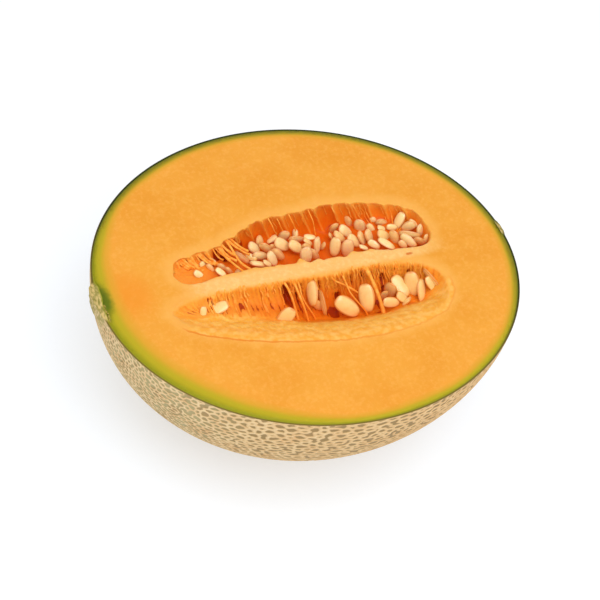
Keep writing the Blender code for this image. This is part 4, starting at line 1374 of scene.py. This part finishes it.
# %% Seed places
BUNCHES = {
    "seeds_far_stem": [
        (-35.5, 15.5, 5.1, 143, 3, -65, 0.44), (-39, 13.2, 4.7, 162, 52, -39, 0.42),
        (-36.9, 11.2, 4.2, 150, 53, -99, 0.42), (-42.7, 8.5, 3.6, 154, 34, -32, 0.43),
        (-33.9, 7.9, 3.7, 134, 20, -7, 0.42), (-31.9, 11.7, 5.3, 176, 52, -102, 0.42),
        (-30, 9, 5.1, 169, 61, -119, 0.42), (-26.3, 8.8, 6.3, 293, 57, 34, 0.42),
        (-21.4, 16.6, 7.9, 143, 29, -106, 0.66),
    ],
    "seeds_far_middle": [
        (-13.9, 21.4, 9.5, 179, 43, -35, 0.66), (-10, 24.7, 10.5, 188, 62, -55, 0.66),
        (-9.3, 20.3, 9.5, 170, 54, -114, 0.66), (-4.5, 25.3, 10.8, 4, 37, -1, 0.42),
        (0.5, 25.4, 10.6, 296, 80, 135, 0.66), (-2.2, 20.7, 9.4, 178, 35, -37, 0.75),
        (-5.6, 20.8, 10.1, 183, 37, -100, 0.42), (-6, 15.6, 8.8, 165, 53, -103, 0.66),
        (-9.4, 13.5, 8.2, 157, 55, -29, 0.66), (-13.5, 16.5, 8.8, 184, 30, -91, 0.66),
        (-17.3, 16.4, 8.6, 139, 6, -60, 0.43), (-15.7, 12.4, 8.5, 180, 20, 22, 0.66),
        (-12.2, 11.7, 8.2, 180, 36, -14, 0.42), (5.7, 25.3, 10.5, 90, 63, -56, 0.42),
        (5.1, 22.4, 9.8, 184, 25, -111, 0.66), (2.7, 18, 9, 166, 37, -37, 0.68),
        (10.7, 22.2, 9.8, 154, -7, -9, 0.42), (8.9, 19.8, 9.6, 162, 34, -7, 0.42),
        (7.3, 17.5, 9.3, 184, 34, -89, 0.42), (11.5, 16.7, 8.8, 129, 74, -4, 0.66),
        (4.5, 11.7, 7.7, 159, 73, -67, 0.79), (8.5, 12.5, 9.1, 172, 61, -129, 0.66),
        (2.7, 8.8, 7.6, 192, 31, -119, 0.42), (14.6, 17.1, 10.6, 284, 70, 64, 0.42),
    ],
    "seeds_far_blossom": [
        (22.4, 24.8, 10.3, 244, 76, -148, 0.66), (29.7, 27.1, 10.9, 214, 81, 178, 0.66),
        (26.5, 22, 9.8, 168, 38, -34, 0.66), (33.1, 22.6, 9.3, 185, 78, -133, 0.75),
        (22.7, 19.5, 9.4, 182, 41, -19, 0.66), (19.8, 21, 10.3, 192, 52, -28, 0.42),
        (18.1, 13.8, 8.2, 69, 65, -26, 0.7), (22.8, 11.7, 8.1, 145, 76, -57, 0.81),
        (27.2, 15.5, 8.6, 165, 41, -30, 0.66), (31.1, 16.1, 8.8, 166, 57, -22, 0.66),
        (34, 15.6, 7.9, 157, 60, -28, 0.66), (38.9, 24.1, 8.9, 325, 62, 79, 0.45),
        (36.9, 20.1, 8.4, 142, 44, -67, 0.42), (42, 21.1, 7.5, 194, 48, -116, 0.66),
        (41, 18.2, 7.6, 170, 23, -11, 0.42), (39.5, 13.9, 6.6, 182, 33, -31, 0.66),
        (42.7, 10.9, 5.5, 148, 72, -108, 0.66), (44.6, 17, 6.3, 168, 8, -61, 0.42),
        (48.4, 18.9, 5.3, 32, 61, -15, 0.66), (50.6, 14.6, 4.7, 313, 61, 96, 0.66),
        (53.2, 15.3, 4.1, 159, 32, -12, 0.42), (54.1, 10.9, 4, 191, 61, -59, 0.66),
        (48.9, 10, 4.2, 152, -5, -108, 0.76), (46.9, 6.8, 3.9, 129, 14, -81, 0.67),
        (44.3, 6.2, 4.8, 159, 43, -72, 0.42), (51.3, 5.2, 3.7, 191, 54, -134, 0.66),
        (54, 5.5, 3.1, 155, 76, -43, 0.42), (38.3, 8.7, 5.7, 134, 11, 11, 0.67),
        (34, 10.8, 7.4, 135, 9, -58, 0.46), (29.5, 10.8, 8.1, 181, 28, 1, 0.42),
    ],
    "seeds_near_stem": [
        (-47.6, -9.8, 3.2, 72, 52, 4, 0.47), (-41.3, -5.4, 4.2, 118, 66, 22, 0.66),
        (-41.4, -8.7, 3.8, 358, 25, 7, 0.85),
    ],
    "seeds_near_single": [
        (-16, -16.7, 7.2, 8, 63, 50, 1),
    ],
    "seeds_near_middle": [
        (-1.9, -9, 5.2, 83, 38, -59, 0.97), (2, -11.9, 8.5, 93, 35, -99, 0.98),
        (0.8, -11.4, 10.5, 169, 54, -91, 0.66), (11.1, -15.7, 9, 149, 29, -46, 1.1),
    ],
    "seeds_near_pair": [
        (19.7, -14.5, 7.5, 94, 50, -41, 1.09),
    ],
    "seeds_near_blossom": [
        (31.2, -12.3, 8.5, 233, 80, 167, 0.93), (35.6, -12.2, 7.2, 116, 24, -14, 0.95),
        (39.8, -13.3, 5.9, 104, 60, -50, 1.04), (42.8, -16.6, 7, 79, 39, 38, 0.93),
        (46.9, -15.7, 4.6, 125, 41, -23, 0.66), (47.7, -13.9, 3.9, 119, 22, -116, 0.97),
        (29.3, -17.8, 9, 175, 15, -59, 0.74), (34.6, -16.8, 8.6, 166, 37, -31, 0.66),
        (35.3, -18.9, 9.4, 323, 66, -1, 0.66), (28.4, -13.2, 10, 222, 78, -132, 0.66),
    ],
}
print("seeds:", sum(len(places) for places in BUNCHES.values()))


# %% [markdown]
# Each bunch becomes a mesh of loose points, one for each seed, that carries its turn and size as numbers.
# A tone is drawn for each seed, and the large flat seeds of the near lobe are marked, because their thin
# rims shine through.


# %% Bunch guides
def seed_euler(heading, lean, roll):
    turn = Matrix.Rotation(math.radians(heading), 3, "Z") @ Matrix.Rotation(math.radians(-lean), 3, "Y")
    turn = turn @ Matrix.Rotation(math.radians(roll), 3, "X")
    return turn.to_euler("XYZ")


def bunch_guide(places, seed, thin_rim):
    """A mesh of single points with a turn, a size, a tone and a kind of rim for each seed."""
    draw = random.Random(seed)
    mesh = bpy.data.meshes.new("bunch_guide")
    mesh.from_pydata([(x * MM, y * MM, HEIGHT - depth * MM) for x, y, depth, *_ in places], [], [])
    turns = [c for place in places for c in seed_euler(*place[3:6])]
    keep_numbers(mesh, "turn", turns, "FLOAT_VECTOR")
    keep_numbers(mesh, "size", [place[6] for place in places])
    keep_numbers(mesh, "tone", [draw.random() for _ in places])
    keep_numbers(mesh, "thin_rim", [thin_rim] * len(places))
    return mesh


def bunch_tree(material):
    graph = geometry_graph("seed_bunch")
    places = graph.named_input("Places", "Geometry", None)
    model = graph.named_input("Seed model", "Object", None)
    swell = graph.named_input("Swell", "Float", 1.0)
    rotation = graph.node("FunctionNodeEulerToRotation", {}, {0: graph.kept("turn", "FLOAT_VECTOR")})
    shape = graph.node("GeometryNodeObjectInfo", {}, {"Object": model}, "Geometry")
    copies = graph.node(
        "GeometryNodeInstanceOnPoints", {},
        {"Points": places, "Instance": shape, "Rotation": rotation, "Scale": graph.kept("size") * swell},
    )
    return graph.finish(copies, material)


# %% [markdown]
# The seed's skin is cream, warmer and more brown at the pointed end and along the rim, with a wet coat. The
# dark orange along the rim is partly the rim's own colour and partly painted shade where seeds touch. A
# tone that was drawn for each seed shifts it between ivory and tan.


# %% Seed finish
def seed_finish():
    material, graph, shader = new_finish("seed_skin")
    where = place_of(graph)
    edge = attribute(graph, "seed_edge")
    thin_rim = attribute(graph, "thin_rim")
    tint = layered(
        graph, blend(graph, attribute(graph, "tone"), colour(255, 230, 170), colour(250, 210, 136)),
        (thin_rim * 0.75, (246, 200, 122)),
        (grain(graph, where, 2.5).step(0.45, 0.75) * 0.45, (240, 188, 108)),
    )
    # Partly the rim's own colour and partly painted shade where the seeds touch
    rim_and_contact_shade = blend(graph, thin_rim, colour(206, 104, 20), colour(220, 130, 36))
    tint = blend(graph, edge.step(0.74, 0.94) * (0.5 + 0.3 * thin_rim), tint, rim_and_contact_shade)
    tint = layered(graph, tint, (attribute(graph, "seed_end").step(-0.4, -1.0) * 0.6, (228, 150, 66)))
    feed(graph, shader, {
        "Base Color": tint,
        "Roughness": 0.3 + 0.14 * grain(graph, where, 1.5),
        "Normal": bump(graph, grain(graph, where, 1.6) * 0.12, 0.7),
    })
    set_constants(shader, {
        "Subsurface Weight": 0.25, "Subsurface Radius": (1.0, 0.6, 0.3), "Subsurface Scale": 0.0015,
        "Coat Weight": 0.5, "Coat Roughness": 0.08,
    })
    return material


# %% Seed pieces
# The far lobe's seeds are a little larger than their solids, which need air between them
FAR_SWELL = 1.12
SEED_FINISH = seed_finish()
models = []
for name, sizes in {"round_seed": SEED_SIZE, "flat_seed": FLAT_SEED_SIZE}.items():
    model = bpy.data.objects.new(name, seed_mesh(name, sizes, SEED_SIDES, SEED_ROWS))
    bpy.context.scene.collection.objects.link(model)
    models.append(model)
BUNCH_TREE = bunch_tree(SEED_FINISH)
bunches = {}
for number, (name, places) in enumerate(BUNCHES.items()):
    guide = bunch_guide(places, number, float("near" in name))
    model, swell = (models[1], 1.0) if "near" in name else (models[0], FAR_SWELL)
    bunches[name] = grown(name + "_dressed", BUNCH_TREE, {"Seed model": model, "Swell": swell}, guide)
for model in models:
    bpy.data.objects.remove(model)

# %% [markdown]
# ## Every piece on its solid
#
# The melon's own solid is replaced by the two rind pieces, the flesh and the fibres, and each bunch of
# seeds stands for its own node.

# %% Ride and replace
for piece in (rind_far, rind_near, flesh, fibres):
    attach(piece, "root")
    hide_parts("melon_half")
for name, piece in bunches.items():
    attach(piece, "root")
    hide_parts(name)
for piece, normals in zip((rind_far, rind_near), seam_normals):
    piece.data.normals_split_custom_set_from_vertices([tuple(normal) for normal in normals])

# %% [markdown]
# ## Floor, light and camera
#
# The melon lies on a plain white floor. One broad lamp high above it, a little to the near side, and a
# bright surrounding give soft shadows close to the fruit, as in a light tent. The camera looks down on the
# cut face from the stem end's near side.

# %% Floor
REACH = 3.0
FLOOR_GLOW = 0.46
floor_mesh = bpy.data.meshes.new("floor")
corners = [(-REACH, -REACH, 0), (REACH, -REACH, 0), (REACH, REACH, 0), (-REACH, REACH, 0)]
floor_mesh.from_pydata(corners, [], [(0, 1, 2, 3)])
floor = bpy.data.objects.new("floor", floor_mesh)
bpy.context.scene.collection.objects.link(floor)
floor_material, floor_graph, floor_shader = new_finish("white_floor")
floor_patches = grain(floor_graph, place_of(floor_graph), 300)
floor_tint = blend(floor_graph, floor_patches, colour(192, 199, 208), colour(194, 201, 210))
feed(floor_graph, floor_shader, {"Base Color": floor_tint})
set_constants(floor_shader, {
    "Roughness": 0.9, "Specular IOR Level": 0.1,
    "Emission Color": (1.0, 1.0, 1.0, 1.0), "Emission Strength": FLOOR_GLOW,
})
floor_mesh.materials.append(floor_material)
floor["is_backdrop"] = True

# %% Light
SURROUND = 0.66
LAMP_SIZE = 0.9
LAMP_PLACE = (-0.1, -0.38, 0.98)
LAMP_AIM = (0, 0, 0.05)
LAMP_POWER = 7.4
scene = bpy.context.scene
world = bpy.data.worlds.new("light_tent")
scene.world = world
world.use_nodes = True
background = world.node_tree.nodes["Background"]
set_constants(background, {"Color": (1.0, 1.0, 1.0, 1.0), "Strength": SURROUND})
scene.view_settings.view_transform = "Standard"


def softbox(name, size, place, aim, power):
    lamp = bpy.data.lights.new(name, "AREA")
    lamp.shape = "SQUARE"
    lamp.size = size
    lamp.energy = power
    holder = bpy.data.objects.new(name, lamp)
    holder.location = place
    holder.rotation_euler = (Vector(aim) - Vector(place)).to_track_quat("-Z", "Y").to_euler()
    scene.collection.objects.link(holder)


softbox("top_light", LAMP_SIZE, LAMP_PLACE, LAMP_AIM, LAMP_POWER)

# %% Camera
AZIMUTH, ELEVATION, ROLL = (math.radians(angle) for angle in (-34.02, 48.54, 15.90))
AIM = Vector((-10.50 * MM, -14.87 * MM, HEIGHT))
DISTANCE = 616.2
LENS = 97.215
SENSOR = 36
back = Vector((
    math.sin(AZIMUTH) * math.cos(ELEVATION), -math.cos(AZIMUTH) * math.cos(ELEVATION), math.sin(ELEVATION)
))
right = (-back).cross(Vector((0, 0, 1))).normalized()
up = right.cross(-back)
tilted_right = right * math.cos(ROLL) + up * math.sin(ROLL)
tilted_up = up * math.cos(ROLL) - right * math.sin(ROLL)
lens = bpy.data.cameras.new("camera")
lens.lens = LENS
lens.sensor_width = SENSOR
lens.clip_start = 0.01
camera = bpy.data.objects.new("camera", lens)
scene.collection.objects.link(camera)
place = AIM + back * DISTANCE * MM
rows = [(tilted_right[i], tilted_up[i], back[i], place[i]) for i in range(3)]
camera.matrix_world = Matrix([*rows, (0, 0, 0, 1)])
scene.camera = camera

# %% Sizes and the last line
boxes = {"solid": solid_box, "visual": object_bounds()}
boxes = {name: [[float(c) for c in corner] for corner in box] for name, box in boxes.items()}
print(boxes)
